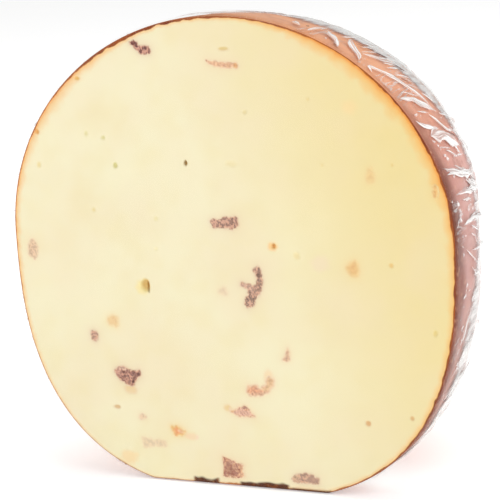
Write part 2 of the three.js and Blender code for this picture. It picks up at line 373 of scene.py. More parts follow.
# Each dice of ham: node, slot, middle on the cut face (across, above the flattened side) and depth in mm,
# how strong its colour is, how many mm its edge takes to fade out of the paste, its outline round the middle
diceTable = [
    ("ham_top_left", "ham_dark", (-23.8, 131.0), 5, 1.0, 0.35, [
        (-3.4, 1.6), (-2.0, 2.2), (-0.9, 1.8), (-0.4, 0.7), (1.6, 0.7), (3.2, 0.0), (3.4, -1.2), (2.6, -2.0),
        (0.3, -2.1), (-1.4, -0.6), (-2.7, 0.6)]),
    ("ham_top_strip", "ham_pink", (2.2, 125.9), 4, 0.85, 0.4, [
        (-4.8, 1.4), (0.8, 0.8), (4.6, 0.6), (4.8, -1.0), (0.1, -1.0), (-4.3, 0.2)]),
    ("ham_centre", "ham_dark", (0.0, 79.5), 6, 0.85, 0.4, [
        (-4.4, 1.0), (-1.6, 1.1), (0.4, 1.9), (4.3, 1.9), (4.5, -0.8), (2.5, -1.9), (0.0, -1.5), (-3.8, -1.5)]),
    ("ham_branch", "ham_dark", (7.9, 61.0), 6, 0.8, 0.45, [
        (1.9, 6.1), (3.1, 4.8), (3.5, 1.7), (2.9, -1.4), (1.3, -3.7), (0.1, -6.0), (-1.6, -6.8), (-3.0, -5.2),
        (-2.0, -2.9), (-1.6, -1.4), (-4.0, 0.2), (-3.2, 1.3), (-0.8, 0.5), (1.1, 0.6), (1.3, 2.8), (0.5, 4.8)]),
    ("ham_heart", "ham_dark", (-35.2, 31.2), 7, 0.95, 0.45, [
        (-4.3, 1.8), (-2.7, 3.0), (-0.2, 2.7), (1.9, 1.8), (4.1, 2.3), (4.6, 0.5), (3.0, -1.2), (1.9, -3.2),
        (0.3, -3.2), (-2.4, -1.5), (-3.8, 0.0)]),
    ("ham_chip_left", "ham_dark", (-45.7, 43.2), 4, 0.8, 0.45, [
        (-1.2, 1.2), (0.0, 1.8), (1.2, 1.0), (1.3, -0.8), (0.2, -1.9), (-1.0, -1.0)]),
    ("ham_round_left", "ham_orange", (-38.8, 48.2), 4, 0.55, 1.3, oval(4.6, 4.2)),
    ("ham_rim_left", "ham_pink", (-64.8, 69.5), 5, 0.52, 0.8, oval(4.0, 6.6)),
    ("ham_right", "ham_orange", (39.8, 67.4), 5, 0.7, 1.4, oval(4.6, 5.4, 0.12)),
    ("ham_boot", "ham_pink", (17.7, 40.7), 4, 0.7, 0.6, [
        (0.4, 2.4), (1.2, 0.5), (0.9, -1.4), (-0.3, -2.1), (-1.6, -1.7), (-0.9, -0.2)]),
    ("ham_hook", "ham_pink", (8.2, 30.4), 6, 0.9, 0.9, [
        (-4.1, -1.4), (-3.4, 0.3), (-0.8, 0.8), (0.7, 0.1), (2.2, 1.5), (3.0, 3.9), (5.1, 3.0), (5.1, 1.0),
        (2.8, -1.7), (-0.3, -2.9), (-2.8, -2.9)]),
    ("ham_wedge", "ham_pink", (2.3, 22.9), 5, 0.9, 0.6, [
        (-4.1, 0.7), (-2.6, 0.2), (1.1, 1.7), (2.9, 0.2), (4.1, -1.7), (-0.5, -2.0), (-3.6, -0.7)]),
    ("ham_ember", "ham_orange", (-19.1, 14.9), 5, 0.95, 0.8, [
        (-2.6, 1.4), (-0.2, 1.9), (2.4, 0.3), (1.9, -1.2), (-0.8, -1.7), (-2.1, -0.7)]),
    ("ham_band", "ham_pink", (-27.5, 10.7), 4, 0.32, 0.9, [
        (-4.1, 1.7), (0.0, 1.3), (4.0, 1.0), (4.1, -1.1), (0.3, -1.5), (-3.7, -1.9)]),
    ("ham_crumb", "ham_pink", (-31.0, 18.6), 3, 0.5, 0.8, oval(3.2, 2.0, 0.1, 8)),
    ("ham_base_block", "ham_pink", (-1.8, 5.2), 7, 1.0, 0.3, [
        (-3.1, 2.7), (-2.8, 2.9), (0.4, 1.9), (3.8, 0.9), (4.0, 0.3), (3.4, -0.8), (3.9, -2.7), (3.5, -3.2),
        (0.6, -3.6), (-3.0, -3.4), (-3.3, -3.0), (-2.9, 0.0)]),
    ("ham_base_slab", "ham_dark", (21.5, 3.3), 6, 0.75, 0.4, [
        (-4.3, -0.2), (-2.3, 1.3), (0.8, 1.8), (4.3, 0.6), (4.2, -1.3), (-0.2, -1.6), (-3.3, -1.4)]),
    ("ham_upper_right", "ham_orange", (46.1, 94.4), 4, 0.4, 1.2, oval(3.4, 5.4, 0.1)),
    ("ham_rim_right", "ham_orange", (65.3, 90.4), 4, 0.9, 0.8, oval(2.2, 4.0, 0.06, 8)),
    ("ham_faint_centre", "ham_pink", (-1.5, 59.0), 4, 0.3, 1.2, oval(3.6, 3.2, 0.1, 8)),
]
diceKeys = ("slot", "at", "deep", "strength", "edge", "outline")
hamDice = {name: dict(zip(diceKeys, values)) for name, *values in diceTable}

hamSettings = {
    "pointSpacing": 0.24 * mm,
    "gap": 0.03 * mm,          # between a dice and its pocket
    "lip": 0.1 * mm,           # how far the smeared edge of a dice laps over the paste
    "groove": 0.06 * mm,       # how far the paste sinks beside a clear edge
    "pocketRoom": 0.4 * mm,    # behind a dice
    "fibreRise": 0.17 * mm,
    "haloShare": 0.55,         # how much of the paste's tint right beside a dice is the meat's
    "haloWidth": 0.9,
}
hamHalos = {"ham_dark": (216, 186, 158), "ham_pink": (228, 198, 164), "ham_orange": (229, 198, 138)}


def edgeCrispness(dice):   # 1 for a clear edge, 0 for one that the paste smears over
    return float(fade(1.0, 0.45, dice["edge"]))


def smoothLoop(corners, spacing, bend=0.34):   # a closed curve through the corners, resampled evenly
    corners = np.asarray(corners, float)
    before, after, next2 = np.roll(corners, 1, 0), np.roll(corners, -1, 0), np.roll(corners, -2, 0)
    share = np.linspace(0, 1, 24, endpoint=False)[None, :, None]
    a, b = corners[:, None], after[:, None]
    leave, arrive = (after - before)[:, None] * bend, (next2 - corners)[:, None] * bend
    curve = (a * (2 * share ** 3 - 3 * share ** 2 + 1) + b * (3 * share ** 2 - 2 * share ** 3)
             + leave * (share ** 3 - 2 * share ** 2 + share) + arrive * (share ** 3 - share ** 2)).reshape(-1, 2)
    closed = np.vstack([curve, curve[:1]])
    run = np.concatenate([[0], np.cumsum(np.linalg.norm(np.diff(closed, axis=0), axis=1))])
    count = max(12, int(run[-1] / spacing))
    wanted = np.arange(count) * run[-1] / count
    return np.stack([np.interp(wanted, run, closed[:, 0]), np.interp(wanted, run, closed[:, 1])], axis=1)


def signedArea(loop):   # twice the area, above 0 if the loop runs anticlockwise
    return np.sum(loop[:, 0] * np.roll(loop[:, 1], -1) - np.roll(loop[:, 0], -1) * loop[:, 1])


def offsetLoop(loop, distance):
    tangent = np.roll(loop, -1, 0) - np.roll(loop, 1, 0)
    normal = np.stack([tangent[:, 1], -tangent[:, 0]], axis=1) * np.sign(signedArea(loop))
    return loop + normal / np.linalg.norm(normal, axis=1, keepdims=True) * distance


def hexPoints(low, high, spacing):
    rows = np.arange(low[1], high[1], spacing * 0.866)
    across = np.arange(low[0], high[0], spacing)
    return np.vstack([np.stack([across + (k % 2) * spacing / 2, np.full(len(across), z)], axis=1)
                      for k, z in enumerate(rows)])


def triangulate(points, loops):   # points in the plane, with closed loops of indices that the edges follow
    edges = [(a, b) for loop in loops for a, b in zip(loop, loop[1:] + loop[:1])]
    made = delaunay_2d_cdt([Vector(p) for p in points], edges, [], 1, 1e-7, True)
    order = [found[0] if found else -1 for found in made[3]]
    faces = []
    for face in made[2]:
        named = [order[k] for k in face]
        if -1 not in named and len(set(named)) == 3:
            a, b, c = (points[k] for k in named)
            turned = (b[0] - a[0]) * (c[1] - a[1]) - (b[1] - a[1]) * (c[0] - a[0])
            faces.append(named if turned > 0 else named[::-1])
    # the hollows of the outline come filled, and are left out again
    middles = np.array([points[face].mean(0) for face in faces])
    onEdge = np.array([max(face) < len(loops[0]) for face in faces])
    filled = np.zeros(len(faces), bool)
    filled[onEdge] = outlineDistance(middles[onEdge], points[:len(loops[0])]) > 0
    return [face for face, skipped in zip(faces, filled) if not skipped]


def raggedOutline(name):   # the outline on the cut face in metres, with a little wandering along its edge
    dice = hamDice[name]
    loop = smoothLoop(dice["outline"], 0.3)
    flat = np.hstack([loop, np.full((len(loop), 1), len(name) * 1.7 + dice["at"][0])])
    loop = loop + noiseAt(flat, 0.9)[:, None] * (offsetLoop(loop, 1.0) - loop) * 0.3
    return (loop + dice["at"]) * mm + (0, wheel["standHeight"])


hamLoops = {name: raggedOutline(name) for name in hamDice}


cheeseSettings = {
    "rimSpacing": 0.7 * mm,
    "farSpacing": 1.3 * mm,       # points of the cut face far from any mark
    "midSpacing": 0.75 * mm,
    "nearSpacing": 0.36 * mm,     # round the ham and the pits
    "swell": 0.16 * mm,           # long waves in the cut
    "ripple": 0.035 * mm,
    "crumple": 0.12 * mm,         # and where the paste was pressed together, low on the left
    "crumpleAt": (-35.8 * mm, 5.6 * mm),
    "crumpleSize": 6 * mm,
    "rimRounding": 0.4 * mm,
    "rimDip": 0.12 * mm,
    "rindBumps": 0.34 * mm,
    "rindRipples": 0.12 * mm,
    "rindSteps": 44,              # rows from 30 mm behind the cut to the rounded end
    "roughness": 0.42,
    "rindRoughness": 0.55,
}
cheeseTones = {
    "glow": linear(234, 166, 68),          # inside the rim, and right at it
    "innerGlow": linear(220, 120, 26),
    "line": linear(156, 78, 12),
    "darkLine": linear(116, 44, 8),
    "rindPatch": linear(164, 96, 74),
    "rindFreckle": linear(232, 178, 138),
    "foot": linear(80, 34, 4),
    "footFreckle": linear(118, 60, 12),
}

# Small marks in the paste: place on the cut face (across, up), half sizes, colour, strength and pit depth, in
# mm; the dark ones in pits are painted shade
olive, rust = (200, 190, 120), (196, 130, 62)
pasteMarksAndPitShade = [
    ((-28.2, 59.0), (2.4, 2.4), (236, 214, 130), 0.55, 0.0),
    ((-27.2, 59.9), (1.5, 1.9), (214, 170, 92), 0.8, 1.3),
    # painted shade: the dark crescent and spot on the right of this pit stand in for its shadow
    ((-26.5, 59.5), (0.6, 1.7), (150, 100, 26), 0.85, 0.0),
    ((-26.0, 58.2), (0.4, 0.9), (92, 60, 20), 0.8, 0.0),
    # painted shade: these two dark pores stand in for the shadow in their holes
    ((-11.5, 97.0), (0.55, 0.85), (150, 110, 30), 0.95, 0.8),
    ((15.3, 73.2), (0.6, 0.65), (170, 96, 26), 0.95, 0.8),
    ((15.0, 73.0), (1.7, 1.5), (238, 186, 110), 0.7, 0.0),
    ((-34.6, 95.9), (0.8, 0.95), olive, 0.85, 0.35),
    ((-38.0, 104.2), (0.75, 0.75), olive, 0.6, 0.25),
    ((-43.7, 105.3), (0.7, 0.9), (214, 202, 140), 0.55, 0.2),
    ((3.3, 97.0), (2.0, 1.0), (224, 206, 150), 0.4, 0.2),
    ((8.6, 112.2), (0.7, 0.7), (210, 190, 130), 0.5, 0.2),
    ((42.4, 21.7), (0.9, 0.9), rust, 0.65, 0.25),
    ((51.3, 68.8), (0.8, 0.9), (222, 178, 100), 0.6, 0.2),
    ((2.7, 130.4), (1.8, 0.7), (204, 172, 90), 0.65, 0.2),
    ((-60.6, 95.6), (0.8, 0.9), (224, 200, 130), 0.6, 0.2),
    ((-60.4, 105.7), (0.7, 0.8), rust, 0.75, 0.3),
    ((-45.4, 121.8), (0.9, 0.7), (204, 166, 80), 0.8, 0.3),
    ((-22.1, 80.2), (0.8, 0.8), (222, 208, 150), 0.5, 0.15),
    ((-42.7, 82.3), (0.7, 0.7), (218, 196, 130), 0.5, 0.2),
    ((-22.7, 71.1), (0.7, 0.7), (228, 214, 160), 0.45, 0.15),
    ((22.4, 70.5), (1.0, 1.2), (228, 208, 150), 0.6, 0.2),
    ((63.8, 49.7), (0.7, 1.0), (212, 186, 104), 0.55, 0.2),
    ((55.9, 24.2), (0.7, 0.7), rust, 0.55, 0.2),
    ((-39.4, 21.2), (1.3, 0.7), (196, 140, 70), 0.6, 0.25),
    ((28.3, 116.1), (0.6, 0.6), (218, 190, 120), 0.4, 0.1),
    ((31.7, 97.3), (0.6, 0.6), (218, 190, 120), 0.4, 0.1),
    ((52.8, 97.7), (0.6, 0.6), (218, 184, 110), 0.4, 0.1),
    ((29.7, 68.5), (3.2, 2.6), (232, 208, 186), 0.4, 0.0),
    ((40.6, 113.9), (2.6, 2.2), (242, 206, 150), 0.35, 0.0),
    ((-34.4, 27.0), (2.6, 1.6), (226, 184, 100), 0.5, 0.0),
    ((-2.4, 23.4), (1.5, 1.3), (222, 186, 100), 0.6, 0.0),
    ((-14.8, 13.6), (2.4, 1.3), (238, 192, 172), 0.5, 0.0),
    ((-36.4, 5.6), (3.2, 2.5), (236, 202, 148), 0.6, 0.0),
    ((11.6, 33.6), (1.6, 3.0), (236, 204, 150), 0.5, 0.0),
]

# Round the rim, by turn in degrees from the right (anticlockwise seen from the front): how orange the paste is
# just inside the rim, how wide that glow is in mm, and how dark and wide the thin line of rind is
rimLook = {
    "turns": [-180, -150, -125, -105, -92, -80, -60, -40, -20, 0, 20, 40, 60, 80, 100, 120, 140, 160, 180],
    "rimGlow": [.8, .55, .4, .45, .6, .6, .7, .8, .8, .85, 1., 1., 1., 1., 1., 1., .75, .8, .8],
    "glowWidth": [2.6, 2.0, 1.4, 1.2, 1.2, 1.5, 2.0, 2.4, 2.6, 3.4, 5.4, 6.0, 4.8, 2.2, 1.8, 3.0, 4.6, 3.4, 2.6],
    "lineDark": [.6, .5, .5, .6, .8, .8, .8, .9, 1., 1., 1., .9, .8, .9, 1., 1., .8, .6, .6],
    "lineWidth": [.4, .35, .35, .4, .5, .5, .5, .5, .6, .65, .65, .6, .5, .6, .75, .95, .5, .45, .4],
}

# Very dark patches of rind turned over the bottom edge of the cut: from and to across, and height, in mm
footPatches = [(-14.8, -6.6, 1.0), (0.6, 6.4, 0.8), (6.0, 16.2, 1.05), (17.0, 30.0, 0.1)]
footFrom, footTo, footReach = -17, 32, 2    # where the points of the cut lie closer for them


def rindRelief(points, depth):   # outward, in metres; nothing at the rim and where the cheese stands
    calm = fade(0.5 * mm, 9 * mm, depth) * fade(0, 5 * mm, points[..., 2] - wheel["standHeight"])
    slow = noiseAt(points, 19 * mm) * 2
    quick = noiseAt(points, 6 * mm, 7.0) * 2
    return calm * (slow * cheeseSettings["rindBumps"] + quick * cheeseSettings["rindRipples"])


def faceRelief(flat):   # height of the cut in front of its plane, for points (x, z)
    points = np.stack([flat[:, 0], np.zeros(len(flat)), flat[:, 1]], axis=1)
    height = noiseAt(points, 31 * mm, 2.0) * 2 * cheeseSettings["swell"]
    height += noiseAt(points, 5 * mm, 5.0) * 2 * cheeseSettings["ripple"]
    across, up = cheeseSettings["crumpleAt"]
    reach = cheeseSettings["crumpleSize"]
    crumpled = np.exp(-((flat[:, 0] - across) ** 2 + (flat[:, 1] - up) ** 2) / reach ** 2)
    height += crumpled * noiseAt(points, 1.6 * mm) * 2 * cheeseSettings["crumple"]
    return height


def awayFrom(flat, place, size):   # distance from a place on the cut face given in mm, in its half sizes
    offset = (flat / mm - (0, wheel["standHeight"] / mm) - place) / size
    return np.hypot(offset[:, 0], offset[:, 1])


def markShare(flat, place, size, soft=0.75):   # 1 in the middle of a mark, 0 outside it
    wobble = 1 + 0.25 * noiseAt(np.hstack([flat, np.zeros((len(flat), 1))]), 1.1 * mm, place[0])
    return fade(1.25, 1.25 - soft, awayFrom(flat, place, size) * wobble)


# the painted shade in the pits goes in with the paste's tints
def faceTintsAndPitShade(flat, hamDistance):   # tints of the paste, and the pits' depth
    tint = np.zeros((len(flat), 4))
    pit = np.zeros(len(flat))

    def cover(colourSteps, share):
        weight = np.where(tint[:, 3] > 0.01, share, 1.0) * (share > 0)
        tint[:, :3] += (np.array(linear(*colourSteps)) - tint[:, :3]) * weight[:, None]
        tint[:, 3] = 1 - (1 - tint[:, 3]) * (1 - share)

    for name, dice in hamDice.items():
        distance = hamDistance[name] / mm
        cover(hamHalos[dice["slot"]], hamSettings["haloShare"] * dice["strength"]
              * np.exp(-np.clip(distance, 0, 9) / hamSettings["haloWidth"]))
    for place, size, tone, strength, deep in pasteMarksAndPitShade:
        cover(tone, markShare(flat, place, size) * strength)
        pit = np.maximum(pit, markShare(flat, place, size, 0.9) ** 0.7 * deep * mm)
    return tint, pit


def facePoints(rim):   # the points of the cut face inside its rim, closer where there is more to show
    low, high = rim.min(0), rim.max(0)
    def nearness(points):   # distance to the nearest ham outline or mark
        nearest = np.full(len(points), 1e9)
        for loop in hamLoops.values():
            nearest = np.minimum(nearest, np.abs(distanceNear(points, loop, 6 * mm, 1e9)))
        for place, size, *_ in pasteMarksAndPitShade:
            middle = np.array(place) * mm + (0, wheel["standHeight"])
            away = np.linalg.norm(points - middle, axis=1) - max(size) * mm
            nearest = np.minimum(nearest, np.maximum(away, 0))
        overFoot = (points[:, 0] > footFrom * mm) & (points[:, 0] < footTo * mm)
        aboveFoot = np.maximum(points[:, 1] - low[1] - footReach * mm, 0)
        return np.where(overFoot, np.minimum(nearest, aboveFoot), nearest)

    chosen = []
    bands = [("farSpacing", 3.6 * mm, 1e9), ("midSpacing", 1.3 * mm, 3.6 * mm), ("nearSpacing", -1, 1.3 * mm)]
    for spacingName, least, most in bands:
        points = hexPoints(low, high, cheeseSettings[spacingName])
        distance = nearness(points)
        chosen.append(points[(distance > least) & (distance <= most)])
    points = np.vstack(chosen)
    points = points[outlineDistance(points, rim) < -0.45 * mm]
    keep = np.ones(len(points), bool)
    for loop in hamLoops.values():
        keep &= np.abs(distanceNear(points, loop, 2 * mm, 1.0) - hamSettings["gap"]) > 0.16 * mm
    return points[keep]


def makeCheese(material):
    turns = turnsAroundRim(lambda turn: cheeseSettings["rimSpacing"])
    columns = len(turns)
    rounding = cheeseSettings["rimRounding"]
    nearDepths = np.concatenate([[rounding, 1.1 * mm], np.arange(2.2, 30, 1.4) * mm])
    sweeps = np.concatenate([sweepAt(nearDepths),
                             np.linspace(sweepAt(31 * mm), math.pi / 2, cheeseSettings["rindSteps"])[:-1]])
    grid = skin(turns[None, :], sweeps[:, None])
    depths = np.repeat(depthAt(sweeps)[:, None], columns, axis=1)
    grid = grid + gridNormals(grid) * rindRelief(grid, depths)[..., None]
    grid[..., 2] = np.maximum(grid[..., 2], wheel["standHeight"] - wheel["sole"])

    rimOut = skin(turns, 0.0)[:, [0, 2]]
    ringOne = offsetLoop(rimOut, -0.3 * rounding)    # the two rings that round the cut edge
    ringTwo = offsetLoop(rimOut, -rounding)
    firstY = np.full(columns, wheel["cutY"] + 0.3 * rounding)

    flat = [ringTwo]
    loops = [list(range(columns))]
    count = columns
    walls = []
    for name, loop in hamLoops.items():
        gap = hamSettings["gap"]
        for distance, isFloor in ((gap + 0.05 * mm, False), (gap, True)):
            ring = offsetLoop(loop, distance)
            flat.append(ring)
            loops.append(list(range(count, count + len(ring))))
            if isFloor:
                walls.append((name, count, count + len(ring)))
            count += len(ring)
    inner = facePoints(ringTwo)
    flat = np.vstack(flat + [inner])

    hamDistance = {}
    sunk = np.zeros(len(flat))
    for name, loop in hamLoops.items():
        distance = distanceNear(flat, loop, 8 * mm, 99 * mm)
        hamDistance[name] = distance
        floor = distance < -0.06 * mm
        sunk[floor] = hamDice[name]["deep"] * mm + hamSettings["pocketRoom"]
        groove = hamSettings["groove"] * edgeCrispness(hamDice[name])
        sunk += np.where(floor, 0, groove * np.exp(-np.clip(distance, 0, 1) / (0.25 * mm)))
    for name, first, last in walls:
        sunk[first:last] = hamDice[name]["deep"] * mm + hamSettings["pocketRoom"]
    tint, pit = faceTintsAndPitShade(flat, hamDistance)
    fromRim = -outlineDistance(flat, rimOut)
    dip = cheeseSettings["rimDip"] * fade(2.5 * mm, 0.4 * mm, fromRim)
    height = faceRelief(flat) * fade(0.4 * mm, 6 * mm, fromRim) - dip - pit
    facePlaces = np.stack([flat[:, 0], wheel["cutY"] - height + sunk, flat[:, 1]], axis=1)
    faces = triangulate(flat, loops)

    # all points: the cut face, the ring that rounds its edge, the rind, the rounded end's tip
    ring = np.stack([ringOne[:, 0], firstY, ringOne[:, 1]], axis=1)
    tip = skin(np.array([0.0]), np.array([math.pi / 2]))
    points = np.vstack([facePlaces, ring, grid.reshape(-1, 3), tip])
    ringStart = len(facePlaces)
    faces += [[j, ringStart + j, ringStart + (j + 1) % columns, (j + 1) % columns] for j in range(columns)]
    faces += gridFaces(len(sweeps) + 1, columns, ringStart)
    faces += tipFaces(len(points), columns)
    piece = addPiece("cheeseHalf", points, faces, material, "cheese_body", 55)

    # what the shader reads
    rindDepth = np.concatenate([np.full(columns, 0.1 * mm), depths.ravel(), [wheel["depth"]]])
    paint(piece, "fromRim", np.concatenate([fromRim, -rindDepth]) / mm)
    turnOfAll = np.degrees(np.arctan2(points[:, 2] - wheel["widestHeight"] - wheel["standHeight"], points[:, 0]))
    for name in ("rimGlow", "glowWidth", "lineDark", "lineWidth"):
        paint(piece, name, np.interp(turnOfAll, rimLook["turns"], rimLook[name]))
    across, up = points[:, 0] / mm, (points[:, 2] - wheel["standHeight"]) / mm
    foot = np.zeros(len(points))
    for start, end, rise in footPatches:
        inPatch = fade(start - 0.6, start + 0.5, across) * fade(end + 0.6, end - 0.5, across)
        wander = rise * (1 + 0.7 * noiseAt(points, 2.6 * mm))
        foot = np.maximum(foot, inPatch * fade(wander + 0.35, wander - 0.3, up))
    foot[ringStart:] *= fade(3.0, 1.0, rindDepth / mm)
    paint(piece, "foot", foot)
    blank = np.zeros((len(points) - len(facePlaces), 4))
    # the paste's tints, with the painted shade of the pits
    paint(piece, "marks", np.vstack([tint, blank]))
    shade = rindShade(turnOfAll[ringStart:], rindDepth / mm)
    paint(piece, "rind", np.vstack([np.tile(shade.mean(0), (len(facePlaces), 1)), shade]))
    print("cheese:", len(points), "points")


# The rind under the film: its colour by turn, and the darker band beside the cut
rindTones = {
    "turns": [-180, -140, -90, -50, -20, 0, 18, 32, 48, 65, 85, 110, 150, 180],
    "colours": [(200, 142, 106), (194, 134, 98), (178, 118, 84), (188, 128, 106), (196, 144, 132),
                (202, 150, 142), (216, 154, 140), (230, 162, 132), (240, 170, 126), (240, 166, 114),
                (234, 162, 112), (226, 156, 106), (214, 148, 110), (202, 142, 110)],
    "bandTurns": [-180, -120, -90, -60, -35, -10, 5, 14, 26, 40, 70, 100, 140, 180],
    "bandStrength": [.55, .6, .75, .8, .85, .95, .95, .8, .4, .12, .1, .35, .5, .55],
    "bandWidth": [7, 7, 6, 7, 8, 9, 8.5, 7, 5, 3, 2, 3, 6, 7],
    "band": (100, 38, 22),
    "edge": (116, 50, 14),
    "edgeStrength": 0.9,
}


def rindShade(turns, depth):
    steps = np.array([linear(*c) for c in rindTones["colours"]])
    base = np.stack([np.interp(turns, rindTones["turns"], steps[:, k]) for k in range(3)], axis=1)
    width = np.interp(turns, rindTones["bandTurns"], rindTones["bandWidth"])
    strength = np.interp(turns, rindTones["bandTurns"], rindTones["bandStrength"])
    share = strength * (0.55 * fade(width * 1.1, width * 0.35, depth) + 0.45 * fade(width * 2.0, 0, depth))
    shade = base + (np.array(linear(*rindTones["band"])) - base) * share[:, None]
    edge = rindTones["edgeStrength"] * strength * fade(7.5, 1.2, depth)
    shade += (np.array(linear(*rindTones["edge"])) - shade) * edge[:, None]
    return np.hstack([shade, np.ones((len(shade), 1))])


def makeClothPrint(tree):   # the print that the pressing cloth left in the rind
    place = objectPlace(tree)
    threads = [addNode(tree, "ShaderNodeTexWave", {"bands_direction": direction}, Vector=place,
                       Scale=1 / (5.5 * mm), Distortion=0.5, Detail=1.0).outputs["Fac"]
               for direction in "XYZ"]
    crossed = calculate(tree, "ADD", threads[0], calculate(tree, "ADD", threads[1], threads[2]))
    lumps = grainOf(tree, place, 3.5 * mm, Detail=5.0)
    return scaleAdd(tree, crossed, 0.3, lumps)


def makeCheeseMaterial():
    material, tree = newMaterial("cheese_paste_and_rind")
    tone = useGroup(tree, pasteToneAndShade, mottling=1.0)
    # the paste's tints, with the painted shade of the pits
    marks = addNode(tree, "ShaderNodeAttribute", {"attribute_name": "marks"})
    paste = mixColours(tree, marks.outputs["Alpha"], tone["colour"], marks.outputs["Color"])

    fromRim = attribute(tree, "fromRim")
    wander = useGroup(tree, blotches, size=3.2 * mm, cover=0.5, softness=0.2, detail=3.0, seed=8.0)
    loose = useGroup(tree, blotches, size=9 * mm, cover=0.5, softness=0.2, detail=1.0, seed=5.0)
    width = times(tree, attribute(tree, "glowWidth"), scaleAdd(tree, wander["raw"], 1.3, 0.35))
    glow = remap(tree, fromRim, width, 0.0)
    glow = times(tree, glow, attribute(tree, "rimGlow"), clamp=True)
    paste = mixColours(tree, times(tree, glow, 0.85), paste, cheeseTones["glow"])
    hot = remap(tree, fromRim, times(tree, width, 0.35), 0.0)
    hot = times(tree, hot, attribute(tree, "rimGlow"))
    paste = mixColours(tree, times(tree, hot, 0.85), paste, cheeseTones["innerGlow"])

    edge = times(tree, attribute(tree, "lineWidth"), scaleAdd(tree, wander["raw"], 2.4, -0.2))
    line = remap(tree, fromRim, calculate(tree, "ADD", edge, 0.12), calculate(tree, "SUBTRACT", edge, 0.12))
    line = times(tree, line, attribute(tree, "lineDark"), clamp=True)
    lineTone = mixColours(tree, loose["mask"], cheeseTones["line"], cheeseTones["darkLine"])
    paste = mixColours(tree, line, paste, lineTone)

    patches = useGroup(tree, blotches, size=6 * mm, cover=0.46, softness=0.12, detail=4.0, seed=2.0)
    freckles = useGroup(tree, blotches, size=1.4 * mm, cover=0.38, softness=0.08, detail=3.0, seed=6.0)
    rind = attribute(tree, "rind", "Color")
    rind = mixColours(tree, times(tree, patches["mask"], 0.35), rind, cheeseTones["rindPatch"])
    rind = mixColours(tree, times(tree, freckles["mask"], 0.3), rind, cheeseTones["rindFreckle"])
    onRind = remap(tree, fromRim, 0.05, -0.12)
    tint = mixColours(tree, onRind, paste, rind)
    footTone = mixColours(tree, freckles["mask"], cheeseTones["foot"], cheeseTones["footFreckle"])
    tint = mixColours(tree, attribute(tree, "foot"), tint, footTone)

    fine = grainOf(tree, objectPlace(tree), 0.7 * mm, Detail=3.0)
    pasteHeight = scaleAdd(tree, fine, 0.35, times(tree, tone["grain"], 0.6))
    height = addNode(tree, "ShaderNodeMix", {"data_type": "FLOAT"}, in0=onRind, in2=pasteHeight,
                     in3=makeClothPrint(tree)).outputs[0]
    bump = addNode(tree, "ShaderNodeBump", Strength=0.35, Distance=0.12 * mm, Height=height)
    smooth, rough = cheeseSettings["roughness"], cheeseSettings["rindRoughness"]
    level = scaleAdd(tree, onRind, rough - smooth, smooth - 0.07)
    roughness = scaleAdd(tree, fine, 0.14, level)
    shader = addNode(tree, "ShaderNodeBsdfPrincipled", Base_Color=tint, Roughness=roughness,
                     Specular_IOR_Level=0.25, Normal=bump.outputs[0])
    return finished(material, shader.outputs[0])


hamFinishes = {
    "ham_dark": {"meat": (200, 144, 122), "fibre": (84, 36, 34), "fat": (216, 168, 142),
                 "rim": (214, 162, 130)},
    "ham_pink": {"meat": (220, 166, 134), "fibre": (150, 84, 70), "fat": (230, 190, 154),
                 "rim": (228, 186, 148)},
    "ham_orange": {"meat": (224, 170, 100), "fibre": (198, 130, 64), "fat": (230, 194, 128),
                   "rim": (230, 196, 130)},
}


def makeHamMaterial(slotName):
    tones = {key: linear(*value) for key, value in hamFinishes[slotName].items()}
    material, tree = newMaterial(slotName + "_meat")
    fibre = useGroup(tree, meatFibre, size=0.5 * mm, lean=0.5, seed=len(slotName) * 1.3)
    patch = useGroup(tree, blotches, size=2.6 * mm, cover=0.5, softness=0.12, detail=2.0, seed=4.0)
    paste = useGroup(tree, pasteToneAndShade, mottling=1.0)["colour"]
    paste = mixColours(tree, attribute(tree, "halo"), paste, linear(*hamHalos[slotName]))
    meat = mixColours(tree, fibre["dark"], tones["meat"], tones["fibre"])
    meat = mixColours(tree, times(tree, patch["mask"], 0.25), meat, tones["meat"])
    spots = addNode(tree, "ShaderNodeAttribute", {"attribute_name": "spots"})
    spotShare = times(tree, spots.outputs["Alpha"], scaleAdd(tree, fibre["dark"], -0.35, 1.0))
    meat = mixColours(tree, spotShare, meat, spots.outputs["Color"])
    meat = mixColours(tree, times(tree, fibre["fat"], 0.7), meat, tones["fat"])
    edge = attribute(tree, "edge")
    spread = attribute(tree, "spread")
    ragged = scaleAdd(tree, fibre["height"], 2.4, calculate(tree, "SUBTRACT", edge, 1.2))
    rimming = remap(tree, ragged, times(tree, spread, 1.6), 0.0)
    meat = mixColours(tree, times(tree, rimming, 0.7), meat, tones["rim"])
    inside = remap(tree, ragged, times(tree, spread, -0.35), times(tree, spread, 0.75))
    share = times(tree, inside, attribute(tree, "strength"))
    tint = mixColours(tree, share, paste, meat)
    bump = addNode(tree, "ShaderNodeBump", Strength=0.6, Distance=0.25 * mm, Height=fibre["height"])
    roughness = scaleAdd(tree, fibre["dark"], 0.16, 0.34)
    shader = addNode(tree, "ShaderNodeBsdfPrincipled", Base_Color=tint, Roughness=roughness,
                     Normal=bump.outputs[0])
    return finished(material, shader.outputs[0])


